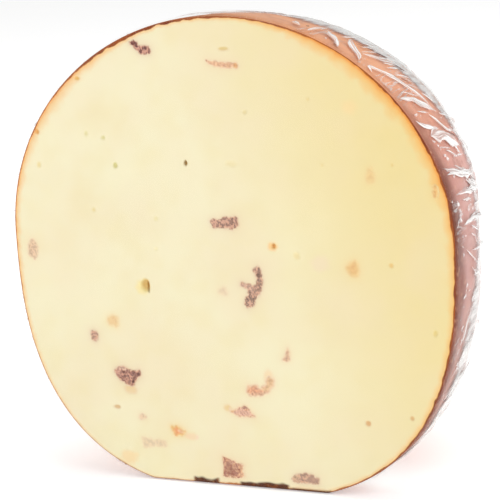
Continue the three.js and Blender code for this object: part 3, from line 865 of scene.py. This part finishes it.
# Tinted places in some dice: middle on the cut face and half sizes in mm, colour, strength, depth in mm
hamSpots = [
    ((2.2, 125.9), (5.6, 1.8), (236, 186, 144), 0.85, 0), ((6.4, 125.9), (0.8, 1.0), (224, 162, 90), 0.9, 0),
    ((5.9, 125.9), (0.3, 0.9), (198, 138, 84), 0.9, 0.1), ((3.0, 125.6), (0.7, 0.7), (208, 152, 118), 0.9, 0.1),
    ((2.3, 22.0), (3.6, 1.7), (228, 184, 164), 0.7, 0), ((-20.1, 14.6), (1.5, 1.5), (230, 154, 104), 0.85, 0),
    ((-1.6, 5.0), (4.2, 3.8), (188, 146, 122), 0.6, 0),
    ((10.1, 64.2), (0.5, 0.8), (96, 48, 44), 0.8, 0.3), ((10.4, 60.0), (0.45, 1.1), (96, 48, 44), 0.8, 0.3),
    ((9.6, 61.6), (0.4, 0.5), (96, 48, 44), 0.8, 0.3), ((5.9, 60.8), (1.8, 1.2), (226, 178, 156), 0.6, 0),
    ((2.9, 24.0), (1.2, 0.55), (132, 74, 76), 0.85, 0.1), ((-0.9, 23.0), (1.3, 0.8), (232, 186, 126), 0.7, 0),
    ((-36.6, 32.2), (0.6, 0.5), (88, 44, 42), 0.8, 0.3), ((-33.4, 29.4), (0.5, 0.6), (88, 44, 42), 0.8, 0.3),
    ((-38.4, 31.9), (1.2, 1.7), (202, 152, 132), 0.6, 0), ((-36.6, 33.6), (1.3, 0.8), (222, 186, 162), 0.75, 0),
    ((-32.6, 31.9), (2.0, 0.8), (112, 56, 52), 0.7, 0.15), ((-35.0, 28.9), (1.6, 0.8), (208, 156, 130), 0.6, 0),
    ((-25.6, 132.2), (1.2, 0.8), (116, 52, 38), 0.6, 0.1),
    ((5.2, 29.5), (2.0, 1.4), (232, 160, 116), 0.7, 0), ((11.8, 32.0), (2.3, 3.2), (228, 196, 142), 0.7, 0),
    ((11.6, 34.0), (0.5, 0.6), (142, 84, 84), 0.7, 0.1), ((-17.3, 15.2), (1.5, 1.2), (232, 190, 164), 0.6, 0),
    ((1.5, 3.6), (1.4, 2.2), (230, 186, 146), 0.85, 0), ((-2.9, 4.3), (1.4, 2.2), (146, 104, 82), 0.6, 0),
    ((-3.6, 7.2), (1.2, 0.8), (206, 156, 120), 0.5, 0), ((24.4, 3.1), (2.6, 1.5), (146, 98, 90), 0.75, 0),
    ((18.6, 3.5), (1.8, 1.0), (214, 176, 140), 0.5, 0)]


def makeHam(name, material):
    dice = hamDice[name]
    loop = hamLoops[name]
    inner = hexPoints(loop.min(0), loop.max(0), hamSettings["pointSpacing"])
    inner = inner[outlineDistance(inner, loop) < -0.14 * mm]
    bevel = offsetLoop(loop, -0.07 * mm)
    flat = np.vstack([loop, bevel, inner])
    columns = len(loop)
    distance = np.maximum(-outlineDistance(flat, loop), 0)
    faces = triangulate(flat, [list(range(columns))])
    points = np.stack([flat[:, 0], np.zeros(len(flat)), flat[:, 1]], axis=1)
    rise = noiseAt(points, 0.8 * mm, 3.0) * 2 * hamSettings["fibreRise"]
    rise += noiseAt(points, 2.4 * mm) * 0.2 * mm
    spots = np.zeros((len(flat), 4))
    hollow = np.zeros(len(flat))
    for place, size, tone, strength, deep in hamSpots:
        share = fade(1.3, 0.6, awayFrom(flat, place, size) * (1 + noiseAt(points, 1.2 * mm, place[0])))
        hollow = np.maximum(hollow, share * deep * mm)
        tinted = share > spots[:, 3]
        spots[tinted, :3] = linear(*tone)
        spots[:, 3] = np.maximum(spots[:, 3], share * strength)
    roughness = 0.25 + 0.75 * edgeCrispness(dice)
    level = faceRelief(flat) + 0.015 * mm
    points[:, 1] = wheel["cutY"] - level + hollow - roughness * rise * fade(0, 0.5 * mm, distance)
    points[:columns, [0, 2]] = offsetLoop(loop, hamSettings["gap"] + hamSettings["lip"])
    back = points[:columns].copy()
    back[:, [0, 2]] = loop
    back[:, 1] = wheel["cutY"] + dice["deep"] * mm
    first = len(points)
    points = np.vstack([points, back])
    backFlat = triangulate(loop, [list(range(columns))])
    for j in range(columns):
        k = (j + 1) % columns
        side = [j, first + j, first + k, k]
        faces.append(side if signedArea(loop) > 0 else side[::-1])
    faces += [[first + k for k in face][::-1] for face in backFlat]
    piece = addPiece(name + "_dice", points, faces, material, name, 40)
    extra = len(points) - len(flat)
    paint(piece, "edge", np.concatenate([distance / mm, np.zeros(extra)]))
    paint(piece, "spots", np.vstack([spots, np.zeros((extra, 4))]))
    for key, value in (("strength", dice["strength"]), ("spread", dice["edge"]),
                       ("halo", hamSettings["haloShare"] * dice["strength"])):
        paint(piece, key, np.full(len(points), value))


# Folds of the film over the rim and the rind: a path through (turn in degrees, mm behind the cut), the widths at
# its two ends and its rise in mm, and how strongly it shines, as whiter doubled film with a painted highlight
filmFolds = [
    ([(100, 1.6), (94, 2.5), (88, 4.0), (81, 5.5)], (0.7, 0.8), 0.5, 0.8),
    ([(72.2, 7.7), (69.6, 5.5)], (1.2, 1.5), 0.7, 0.9),
    ([(66.9, 2.3), (66.6, 10.6), (65.7, 17)], (0.7, 0.9), 0.7, 0.9),
    ([(58, 1.2), (59.5, 4.2), (62.6, 9.3), (65, 14)], (0.5, 2.2), 1.1, 1.0),
    ([(52.1, 1.4), (53.8, 6.1), (58.2, 11.6), (60, 18)], (0.5, 2.2), 1.1, 0.9),
    ([(54.5, 9.5), (50.9, 17), (47.3, 27)], (0.9, 1.0), 0.8, 0.6),
    ([(47.8, 1.0), (50.2, 3.6), (47.5, 6.5), (42.8, 12.4)], (0.6, 0.8), 0.9, 1.0),
    ([(47.1, 6.1), (43.8, 10.4), (40, 14.5), (36.1, 18.6), (33.5, 20.8)], (0.7, 0.7), 0.8, 0.8),
    ([(39.4, 1.3), (37.3, 10.2), (34.7, 17), (33, 21.9)], (0.8, 1.9), 1.2, 0.95),
    ([(33.2, 13.2), (29.9, 17), (26.4, 23.6), (25.7, 24.8)], (0.5, 0.6), 0.5, 0.7),
    ([(32.7, 0.9), (31.2, 3.1), (28.8, 11.3)], (0.7, 1.2), 0.9, 1.0),
    ([(27.9, 3.8), (27.4, 12), (25.2, 20.6), (22.5, 28)], (1.8, 3.4), 1.3, 1.0),
    ([(25.5, 16), (22.9, 21.8), (19.7, 25.1)], (0.5, 0.6), 0.4, 0.7),
    ([(21.6, 7.0), (20.8, 8.8)], (0.8, 0.6), 0.3, 0.6),
    ([(20, 1.1), (18.7, 5.1), (16.8, 15), (14.6, 33.5)], (0.5, 1.6), 0.9, 0.95),
    ([(17.8, 2.1), (17.7, 6.6), (16, 16), (13.9, 34.4)], (0.7, 1.2), 0.9, 1.0),
    ([(13.8, 22.6), (12.2, 29), (11, 36)], (1.0, 1.8), 0.8, 0.8),
    ([(12.4, 4.2), (12.1, 13.2), (10.8, 28.5), (9.5, 40)], (0.6, 2.0), 1.2, 1.0),
    ([(10.6, 4.6), (9.7, 6.2)], (0.8, 0.8), 0.4, 0.8),
    ([(6.7, 4.4), (5.7, 6.0)], (0.9, 0.8), 0.4, 0.8),
    ([(11.7, 0.6), (11.1, 1.5)], (0.5, 0.4), 0.2, 0.5),
    ([(4.5, 6.1), (4.8, 16.9), (2.2, 38)], (0.8, 1.1), 1.0, 1.0),
    ([(-0.8, 11), (-1.4, 24), (-2.2, 44)], (0.4, 0.8), 0.7, 0.75),
    ([(-4.2, 14), (-4.9, 23.3)], (0.5, 0.6), 0.4, 0.6),
    ([(-8.4, 12.5), (-7.8, 20), (-7.5, 28)], (1.6, 2.6), 0.5, 0.45),
    ([(-17.3, 6.1), (-12.7, 10.1), (-9.3, 15.7)], (0.7, 0.9), 0.5, 0.5),
    ([(-24, 4), (-19, 13), (-15, 26)], (0.5, 0.9), 0.6, 0.5),
    ([(-31, 5), (-27, 16), (-25, 34)], (0.5, 1.2), 0.7, 0.55),
    ([(-41, 3), (-37, 14), (-33, 28)], (0.6, 1.0), 0.6, 0.5),
    ([(-52, 4), (-48, 17), (-44, 36)], (0.5, 1.3), 0.7, 0.55),
]

filmSettings = {
    "gap": 0.55 * mm,           # film to cheese
    "closeSpacing": 0.7 * mm,   # columns from closeFrom to closeTo degrees, where most folds are
    "wideSpacing": 0.95 * mm,
    "closeFrom": -62,
    "closeTo": 104,
    "faceRings": 15,
    "backSteps": 66,
    "moreFolds": 34,            # on the sides and the back, besides the list above
    "streaks": 34,              # thin folds over the upper right
    "bubbles": 90,
    "stripColumns": 7,
    "seed": 7,
    "pleats": 30,               # gathered at the rounded end
    "pleatRise": 1.1 * mm,
    "rosette": 13 * mm,         # radius of the flattened gather
    "rosetteRise": 0.8 * mm,
    "wrinkle": 0.16 * mm,
    "tautWave": 0.1 * mm,       # of the film stretched over the cut
    "floorClearance": 0.12 * mm,
    "gloss": 0.35,
}
# the fold tone is the white of doubled film with a painted highlight; the slit tone is a painted shadow under
# lifted film
filmTones = {"milk": (0.9, 0.91, 0.89), "milkShade": (0.66, 0.68, 0.67), "fold": (0.95, 0.94, 0.92),
             "slitShadow": linear(112, 62, 50)}


def moreFolds():   # on the left, below, towards the rounded end, and thin ones at the upper right
    chance = random.Random(filmSettings["seed"])
    made = []
    for k in range(filmSettings["moreFolds"]):
        turn = 112 + 186 * (k + chance.random()) / filmSettings["moreFolds"]
        start = chance.choice([3.5, 5.0, 8.0, 12.0, 18.0])
        length = chance.uniform(10, 32)
        lean = chance.uniform(-5, 5)
        thick = chance.uniform(0.7, 2.4)
        path = [(turn, start), (turn + lean * 0.4, start + length * 0.4), (turn + lean, start + length)]
        made.append((path, (0.5, thick), 0.3 + 0.3 * thick, chance.uniform(0.5, 1.0)))
    for k in range(filmSettings["moreFolds"]):
        turn = 360 * (k + chance.random()) / filmSettings["moreFolds"]
        start = chance.uniform(36, 62)
        length = chance.uniform(14, 30)
        lean = chance.uniform(-8, 8)
        path = [(turn, start), (turn + lean * 0.5, start + length * 0.5), (turn + lean, start + length)]
        made.append((path, (0.6, chance.uniform(1.2, 2.8)), chance.uniform(0.3, 0.7), chance.uniform(0.4, 0.9)))
    for k in range(filmSettings["streaks"]):
        turn = -4 + 68 * (k + chance.random()) / filmSettings["streaks"]
        start = chance.uniform(4, 24)
        length = chance.uniform(5, 15)
        path = [(turn, start), (turn - chance.uniform(0.5, 4), start + length)]
        made.append((path, (0.25, chance.uniform(0.3, 0.6)), 0.35, chance.uniform(0.5, 0.95)))
    return made


# Painted shadow: dark slits under the film where it stands up beside a fold, listed in the same way
filmSlitShadows = [
    ([(68.9, 7.6), (68.5, 9.4)], (0.3, 0.5), 0.2, 0.9),
    ([(54, 19), (52, 22), (50.5, 25)], (0.5, 0.8), 0.2, 0.6),
    ([(49, 22), (47, 25), (45.4, 28)], (0.4, 0.7), 0.2, 0.6),
    ([(58, 15.5), (55, 19), (53, 21)], (0.4, 0.5), 0.2, 0.55),
    ([(44, 14.4), (43.1, 16.4), (42, 18)], (0.25, 0.35), 0.2, 0.7),
    ([(29.9, 7.4), (29.5, 8.6)], (0.25, 0.35), 0.2, 0.6),
    ([(27.2, 21), (25.7, 25), (24.6, 28)], (0.3, 0.45), 0.2, 0.8),
    ([(14, 27), (12.4, 34), (11.6, 39)], (0.3, 0.4), 0.2, 0.7),
    ([(10.2, 27.6), (11.2, 31.2)], (0.4, 0.7), 0.2, 0.9),
    ([(4.4, 25), (3.4, 32), (2.6, 38)], (0.3, 0.4), 0.2, 0.8),
]


def airBubbles():   # small ones under the film
    chance = random.Random(filmSettings["seed"] + 1)
    made = []
    for k in range(filmSettings["bubbles"]):
        turn = chance.uniform(-30, 34) if k % 3 else chance.uniform(34, 330)
        start = chance.uniform(2.4, 9) if k % 2 else chance.uniform(6, 30)
        long = chance.uniform(0.5, 2.2)
        path = [(turn, start), (turn - 0.4 * long * chance.uniform(-1, 1), start + long)]
        made.append((path, (chance.uniform(0.2, 0.55),) * 2, 0.25, chance.uniform(0.4, 0.85)))
    return made


def foldStrip(fold, order, dark):   # a tapering ribbon on the skin: its points and what the shader reads
    path, widths, rise, whiteAndSheen = fold
    given = np.array(path, float)
    legs = np.hypot(np.diff(given[:, 0]) * 1.2, np.diff(given[:, 1]))
    run = np.concatenate([[0], np.cumsum(legs)])
    steps = max(8, int(run[-1] / 0.55))
    share = np.linspace(0, 1, steps)
    bent = np.stack([np.interp(share * run[-1], run, given[:, k]) for k in (0, 1)], axis=1)
    for _ in range(3):
        bent[1:-1] = (bent[:-2] + bent[1:-1] * 2 + bent[2:]) / 4
    turn, depth = np.radians(bent[:, 0]), bent[:, 1] * mm
    sweep = sweepAt(depth)
    place = skin(turn, sweep, filmSettings["gap"])
    outward = skin(turn, sweep, filmSettings["gap"] + 0.5 * mm) - place
    outward /= np.linalg.norm(outward, axis=1, keepdims=True)
    side = np.cross(np.gradient(place, axis=0), outward)
    side /= np.linalg.norm(side, axis=1, keepdims=True)
    taper = fade(0, 0.22, share) * (0.25 + 0.75 * fade(1.0, 0.55, share))
    width = (widths[0] + (widths[1] - widths[0]) * share) * mm * taper + 0.02 * mm
    across = np.linspace(-1, 1, filmSettings["stripColumns"])
    lengthwise = share[:, None] * run[-1] / 3.2
    seeds = np.stack(np.broadcast_arrays(across[None, :] * 1.1, lengthwise, order * 3.7), axis=-1)
    ragged = 1 + 0.6 * noiseAt(seeds * (0.5, 0.8, 1.0), 1.0)
    arch = (1 - across ** 2)[None, :]
    lift = rise * mm * arch * (0.5 + 0.8 * noiseAt(seeds * (2.2, 0.3, 1.0), 1.0))
    lift = lift * fade(0, 0.3, share)[:, None] * fade(1, 0.7, share)[:, None] + 0.1 * mm * arch
    lift += rindRelief(place, depth)[:, None]
    points = place[:, None] + side[:, None] * (width[:, None] * across * ragged)[..., None] \
        + outward[:, None] * lift[..., None]
    strength = whiteAndSheen * fade(0, 0.08, share) * (0.35 + 0.65 * fade(1, 0.6, share))
    clear = fade(0, 0.35, 1 - np.abs(across))
    shine = strength[:, None] * clear[None, :]
    return points, seeds, shine, np.full(shine.shape, float(dark))


# the white strips are doubled film with a painted highlight, the dark ones painted shadow
def makeFolds(material):   # the doubled film of every fold
    whiteOnes = filmFolds + moreFolds() + airBubbles()
    strips = [foldStrip(fold, k, False) for k, fold in enumerate(whiteOnes)]
    strips += [foldStrip(fold, 500 + k, True) for k, fold in enumerate(filmSlitShadows)]
    columns = filmSettings["stripColumns"]
    faces = []
    first = 0
    for points, *_ in strips:
        for i in range(len(points) - 1):
            for j in range(columns - 1):
                a = first + i * columns + j
                faces.append([a, a + 1, a + columns + 1, a + columns])
        first += points.shape[0] * columns
    whole = [np.concatenate([strip[k].reshape(-1, 3) for strip in strips]) for k in (0, 1)]
    whole[0][:, 2] = np.maximum(whole[0][:, 2], filmSettings["floorClearance"])
    piece = addPiece("filmFolds", whole[0], faces, material, "film_wrap", 180)
    paint(piece, "foldPlace", whole[1])
    paint(piece, "shine", np.concatenate([strip[2].ravel() for strip in strips]))
    paint(piece, "slitShadow", np.concatenate([strip[3].ravel() for strip in strips]))
    print("folds:", len(strips), "strips,", first, "points")


def makeFoldMaterial():
    material, tree = newMaterial("folded_film")
    place = attribute(tree, "foldPlace", "Vector")
    drawn = addNode(tree, "ShaderNodeMapping", Vector=place, Scale=(2.4, 0.22, 1.0)).outputs[0]
    streaks = grainOf(tree, drawn, 1.0, Detail=3.0, Roughness=0.6)
    slitShadow = attribute(tree, "slitShadow")
    shine = attribute(tree, "shine")
    streaky = remap(tree, streaks, 0.4, 0.58, 0.32, 1.0)
    cover = times(tree, remap(tree, shine, 0.02, 0.75), streaky, clamp=True)
    # the white of doubled film with a painted highlight, or the painted shadow of a slit
    tone = mixColours(tree, slitShadow, filmTones["fold"], filmTones["slitShadow"])
    bump = addNode(tree, "ShaderNodeBump", Strength=0.6, Distance=0.3 * mm, Height=streaks)
    shader = addNode(tree, "ShaderNodeBsdfPrincipled", Base_Color=tone, Roughness=0.25, Normal=bump.outputs[0])
    clear = addNode(tree, "ShaderNodeBsdfTransparent", Color=(1, 1, 1, 1)).outputs[0]
    return finished(material, mixShaders(tree, cover, clear, shader.outputs[0]))


# Where the film stands off the rind and looks milky, with a painted reflection of the bright surroundings near
# the outline: from this far behind the cut (mm), by turn, and how much
veilAndSheenSettings = {
    "turns": [-180, -140, -100, -80, -60, -42, -30, -21, -12, 0, 8, 16, 26, 36, 48, 62, 78, 95, 120, 150, 180],
    "start": [40, 44, 36, 12, 7, 6, 7, 9, 12, 19, 25, 29, 28, 24, 21, 18, 15, 18, 30, 40, 40],
    "strength": [.3, .3, .35, .6, .75, .8, .8, .78, .72, .66, .65, .66, .75, .8, .85, .85, .8, .7, .4, .3, .3],
    "reach": 48,        # how far back it lasts
}


def filmVeilAndSheen(turn, depth):
    degrees = degreesOf(turn)
    start = np.interp(degrees, veilAndSheenSettings["turns"], veilAndSheenSettings["start"])
    strength = np.interp(degrees, veilAndSheenSettings["turns"], veilAndSheenSettings["strength"])
    return strength * fade(start - 3, start + 6, depth) * fade(start + veilAndSheenSettings["reach"], start + 6, depth)


def makeFilm(material):
    closeFrom, closeTo = filmSettings["closeFrom"], filmSettings["closeTo"]

    def spacing(turn):
        degrees = degreesOf(turn)
        close = fade(closeFrom - 8, closeFrom, degrees) * fade(closeTo + 8, closeTo, degrees)
        return filmSettings["wideSpacing"] + (filmSettings["closeSpacing"] - filmSettings["wideSpacing"]) * close

    turns = turnsAroundRim(spacing)
    columns = len(turns)
    gap = filmSettings["gap"]
    middle = np.array([0.0, wheel["cutY"] - gap, wheel["standHeight"] + wheel["widestHeight"]])
    rim = skin(turns, 0.0, gap * 0.7)

    # rows: the taut face from its middle out, the bend over the rim, the rind, the gather
    shares = np.concatenate([np.linspace(0.06, 0.9, filmSettings["faceRings"]), [0.94, 0.97, 0.985, 0.995]])
    faceRows = middle + (rim[None] - middle) * shares[:, None, None]
    faceRows[..., 1] = wheel["cutY"] - gap
    waves = noiseAt(faceRows, 24 * mm, 11.0) * 2 + noiseAt(faceRows * (0.35, 1, 1.6), 7 * mm, 3.0)
    faceRows[..., 1] += waves * filmSettings["tautWave"] * fade(1.0, 0.9, shares)[:, None]
    bend = np.stack([rim + (0, -0.45 * gap, 0), skin(turns, sweepAt(0.35 * mm), gap)])
    sweeps = np.concatenate([sweepAt(np.arange(1.0, 42, 1.0) * mm),
                             np.linspace(sweepAt(42.5 * mm), math.pi / 2 - 0.012, filmSettings["backSteps"])])
    backRows = skin(turns[None, :], sweeps[:, None], gap)
    grid = np.vstack([faceRows, bend, backRows])
    faceCount = len(shares) + 1
    depth = np.concatenate([np.zeros(faceCount), [0.35 * mm], depthAt(sweeps)])[:, None] * np.ones((1, columns))

    normals = gridNormals(grid)
    relief = rindRelief(grid, depth)
    relief[:faceCount] = 0

    # pleats that run together at the rounded end, and the flattened rosette in their middle
    radius = np.hypot(grid[..., 0], grid[..., 2] - middle[2])
    swirl = turns[None, :] + 0.5 * fade(30 * mm, 0, radius) + 0.09 * noiseAt(grid, 20 * mm, 4.0)
    gather = fade(50 * mm, 88 * mm, depth)
    waves = np.abs(np.sin(swirl * filmSettings["pleats"] / 2))
    uneven = 0.6 + 0.9 * noiseAt(grid, 12 * mm, 9.0)
    pleats = (1 - waves) ** 1.3 * np.clip(uneven, 0.15, 1.2)
    rosette = fade(filmSettings["rosette"], filmSettings["rosette"] * 0.4, radius) * (depth > 60 * mm)
    rise = pleats * gather * filmSettings["pleatRise"] * (1 - 0.4 * rosette)
    rise = rise + rosette * filmSettings["rosetteRise"] * (0.6 + 0.6 * pleats)
    # whiter doubled film on the pleat crests and the rosette, partly a painted highlight
    whiteAndSheen = np.maximum(gather * np.clip(pleats * 1.5 - 0.35, 0, 0.9), 0.55 * rosette)
    turnGrid = turns[None, :] * np.ones_like(depth)
    wrapPlace = np.stack([np.cos(turnGrid), np.sin(turnGrid), depth / (150 * mm)], axis=-1)
    streaks = noiseAt(wrapPlace, 0.045, 1.0)
    rise = rise + streaks * 2 * filmSettings["wrinkle"] * fade(1 * mm, 12 * mm, depth)

    standing = fade(0, 4 * mm, grid[..., 2] - wheel["standHeight"] + gap)
    grid = grid + normals * ((relief + rise) * standing)[..., None]
    grid[..., 2] = np.maximum(grid[..., 2], filmSettings["floorClearance"])

    points = np.vstack([middle, grid.reshape(-1, 3), grid[-1].mean(0)])
    faces = [[0, 1 + j, 1 + (j + 1) % columns] for j in range(columns)]
    faces += gridFaces(len(grid), columns, 1)
    faces += tipFaces(len(points), columns)
    piece = addPiece("filmWrap", points, faces, material, "film_wrap", 180)

    def forAll(values, first, lastValue):
        return np.concatenate([[first], values.reshape(-1), [lastValue]])

    # milky film, with a painted reflection near the outline
    veilAndSheen = filmVeilAndSheen(turnGrid, depth / mm)
    paint(piece, "whiteAndSheen", forAll(whiteAndSheen, 0.0, 0.6))
    paint(piece, "veilAndSheen", forAll(veilAndSheen, 0.0, 0.3))
    paint(piece, "overRind", forAll(fade(0.0, 1.5, depth / mm), 0.0, 1.0))
    wrapPlace = np.stack([np.cos(turnGrid) * 70 * mm, np.sin(turnGrid) * 70 * mm, depth * 0.12], axis=-1)
    paint(piece, "wrapPlace", np.vstack([[0, 0, 0], wrapPlace.reshape(-1, 3), [0, 0, 0.01]]))
    print("film:", len(points), "points")


def makeFilmMaterial():
    material, tree = newMaterial("clear_film")
    place = attribute(tree, "wrapPlace", "Vector")
    creaseNoise = grainOf(tree, place, 5 * mm, Detail=3.0, Roughness=0.6, Distortion=0.6)
    crease = calculate(tree, "ABSOLUTE", calculate(tree, "SUBTRACT", creaseNoise, 0.5))
    crease = remap(tree, crease, 0.028, 0.0)
    thinned = grainOf(tree, place, 14 * mm, Detail=1.0)
    crease = times(tree, crease, remap(tree, thinned, 0.44, 0.6))
    overRind = attribute(tree, "overRind")
    crease = times(tree, crease, overRind)

    bubbles = addNode(tree, "ShaderNodeTexVoronoi", Vector=objectPlace(tree), Scale=1 / (3.4 * mm)).outputs
    drop = remap(tree, bubbles["Distance"], 0.2, 0.12)
    few = addNode(tree, "ShaderNodeSeparateColor", Color=bubbles["Color"]).outputs[0]
    drop = times(tree, drop, remap(tree, few, 0.72, 0.8))
    drop = times(tree, drop, overRind)

    ragged = useGroup(tree, blotches, size=1.6 * mm, cover=0.5, softness=0.3, detail=3.0, seed=9.0)
    # fold crests: whiter doubled film with a painted highlight
    fold = attribute(tree, "whiteAndSheen")
    fold = calculate(tree, "ADD", fold, scaleAdd(tree, ragged["raw"], 0.8, -0.4))
    fold = remap(tree, fold, 0.2, 0.95)
    strands = grainOf(tree, place, 3.2 * mm, Detail=4.0, Roughness=0.65)
    # milky film standing off the rind, with a painted reflection near the outline
    veilAndSheen = attribute(tree, "veilAndSheen")
    torn = scaleAdd(tree, strands, 2.4, calculate(tree, "SUBTRACT", veilAndSheen, 1.5))
    veilAndSheen = times(tree, veilAndSheen, remap(tree, torn, -0.15, 0.5, 0.2, 1.0))
    haze = times(tree, times(tree, overRind, thinned), 0.06)
    # share of the milky white shader: milky film, with painted highlights on folds and a painted reflection near
    # the outline
    milkAndSheenShare = calculate(tree, "MAXIMUM", times(tree, fold, 0.9), veilAndSheen)
    milkAndSheenShare = calculate(tree, "MAXIMUM", milkAndSheenShare, times(tree, crease, 0.55))
    milkAndSheenShare = calculate(tree, "MAXIMUM", milkAndSheenShare, times(tree, drop, 0.4))
    milkAndSheenShare = calculate(tree, "ADD", milkAndSheenShare, haze, clamp=True)

    bump = addNode(tree, "ShaderNodeBump", Strength=0.5, Distance=0.25 * mm,
                   Height=times(tree, creaseNoise, overRind))
    clear = addNode(tree, "ShaderNodeBsdfTransparent", Color=(1, 1, 1, 1)).outputs[0]
    gloss = addNode(tree, "ShaderNodeBsdfGlossy", Color=(1, 1, 1, 1), Roughness=0.1,
                    Normal=bump.outputs[0]).outputs[0]
    facing = addNode(tree, "ShaderNodeFresnel", IOR=1.3, Normal=bump.outputs[0]).outputs[0]
    back = addNode(tree, "ShaderNodeNewGeometry").outputs["Backfacing"]
    front = calculate(tree, "SUBTRACT", 1.0, back)
    reflection = times(tree, facing, times(tree, front, filmSettings["gloss"]))
    thin = mixShaders(tree, reflection, clear, gloss)
    milkTone = mixColours(tree, remap(tree, strands, 0.38, 0.6), filmTones["milkShade"], filmTones["milk"])
    whiteAndSheen = addNode(tree, "ShaderNodeBsdfPrincipled", Base_Color=milkTone, Roughness=0.2,
                    Normal=bump.outputs[0])
    return finished(material, mixShaders(tree, milkAndSheenShare, thin, whiteAndSheen.outputs[0]))


stageSettings = {
    "floorSize": 9.0,
    "floorTone": (0.96, 0.96, 0.955, 1),
    "floorGlow": 0.37,      # keeps the floor as pale as the backdrop
    "worldStrength": 0.54,
    "lights": [
        {"name": "keyLeft", "at": (-0.65, -1.1, 0.6), "size": 0.9, "power": 4.9},
        {"name": "fillRight", "at": (1.1, -0.35, 0.55), "size": 0.8, "power": 5},
        {"name": "topBack", "at": (0.1, 0.5, 1.2), "size": 1.0, "power": 4.3},
    ],
}

cameraSettings = {"azimuth": 25.3, "elevation": 12.0, "roll": -3.16, "lens": 150.0, "distance": 0.609,
                  "aimRight": 7.13 * mm, "aimUp": 1.07 * mm}


def lookAt(place, target, roll=0.0):
    forward = (Vector(target) - Vector(place)).normalized()
    right = forward.cross(Vector((0, 0, 1))).normalized()
    up = right.cross(forward)
    turned = Matrix((right, up, -forward)).transposed() @ Matrix.Rotation(roll, 3, "Z")
    return Matrix.Translation(place) @ turned.to_4x4()


def makeCamera():
    azimuth, elevation = math.radians(cameraSettings["azimuth"]), math.radians(cameraSettings["elevation"])
    back = Vector((math.sin(azimuth) * math.cos(elevation), -math.cos(azimuth) * math.cos(elevation),
                   math.sin(elevation)))
    right = Vector((math.cos(azimuth), math.sin(azimuth), 0))
    up = back.cross(right)
    middle = Vector((0, wheel["cutY"], (wheel["standHeight"] + wheel["topHeight"]) / 2))
    data = bpy.data.cameras.new("camera")
    data.lens = cameraSettings["lens"]
    data.sensor_width = 36
    camera = addToScene("camera", data)
    aim = middle + right * cameraSettings["aimRight"] + up * cameraSettings["aimUp"]
    place = middle + back * cameraSettings["distance"]
    camera.matrix_world = lookAt(place, aim, math.radians(cameraSettings["roll"]))
    bpy.context.scene.camera = camera


def makeStage():
    size = stageSettings["floorSize"] / 2
    mesh = bpy.data.meshes.new("floor")
    corners = [(-size, -size, 0), (size, -size, 0), (size, size, 0), (-size, size, 0)]
    mesh.from_pydata(corners, [], [(0, 1, 2, 3)])
    floor = addToScene("floor", mesh)
    material, tree = newMaterial("pale_floor")
    shader = addNode(tree, "ShaderNodeBsdfPrincipled", Base_Color=stageSettings["floorTone"],
                     Roughness=0.85, Emission_Color=(1, 1, 1, 1),
                     Emission_Strength=stageSettings["floorGlow"])
    mesh.materials.append(finished(material, shader.outputs[0]))

    world = bpy.data.worlds.new("studio")
    world.use_nodes = True
    background = world.node_tree.nodes["Background"]
    background.inputs["Color"].default_value = (1, 1, 1, 1)
    background.inputs["Strength"].default_value = stageSettings["worldStrength"]
    bpy.context.scene.world = world
    middle = Vector((0, 0, 0.07))
    for lamp in stageSettings["lights"]:
        data = bpy.data.lights.new(lamp["name"], "AREA")
        data.shape = "DISK"
        data.size = lamp["size"]
        data.energy = lamp["power"]
        addToScene(lamp["name"], data).matrix_world = lookAt(Vector(lamp["at"]), middle)
    bpy.context.scene.view_settings.view_transform = "Standard"


makeCamera()
makeStage()
print("camera, floor and lights placed")

makeCheese(makeCheeseMaterial())

hamMaterials = {slotName: makeHamMaterial(slotName) for slotName in hamFinishes}
for name, dice in hamDice.items():
    makeHam(name, hamMaterials[dice["slot"]])
print("ham:", len(hamDice), "dice")

makeFilm(makeFilmMaterial())
makeFolds(makeFoldMaterial())
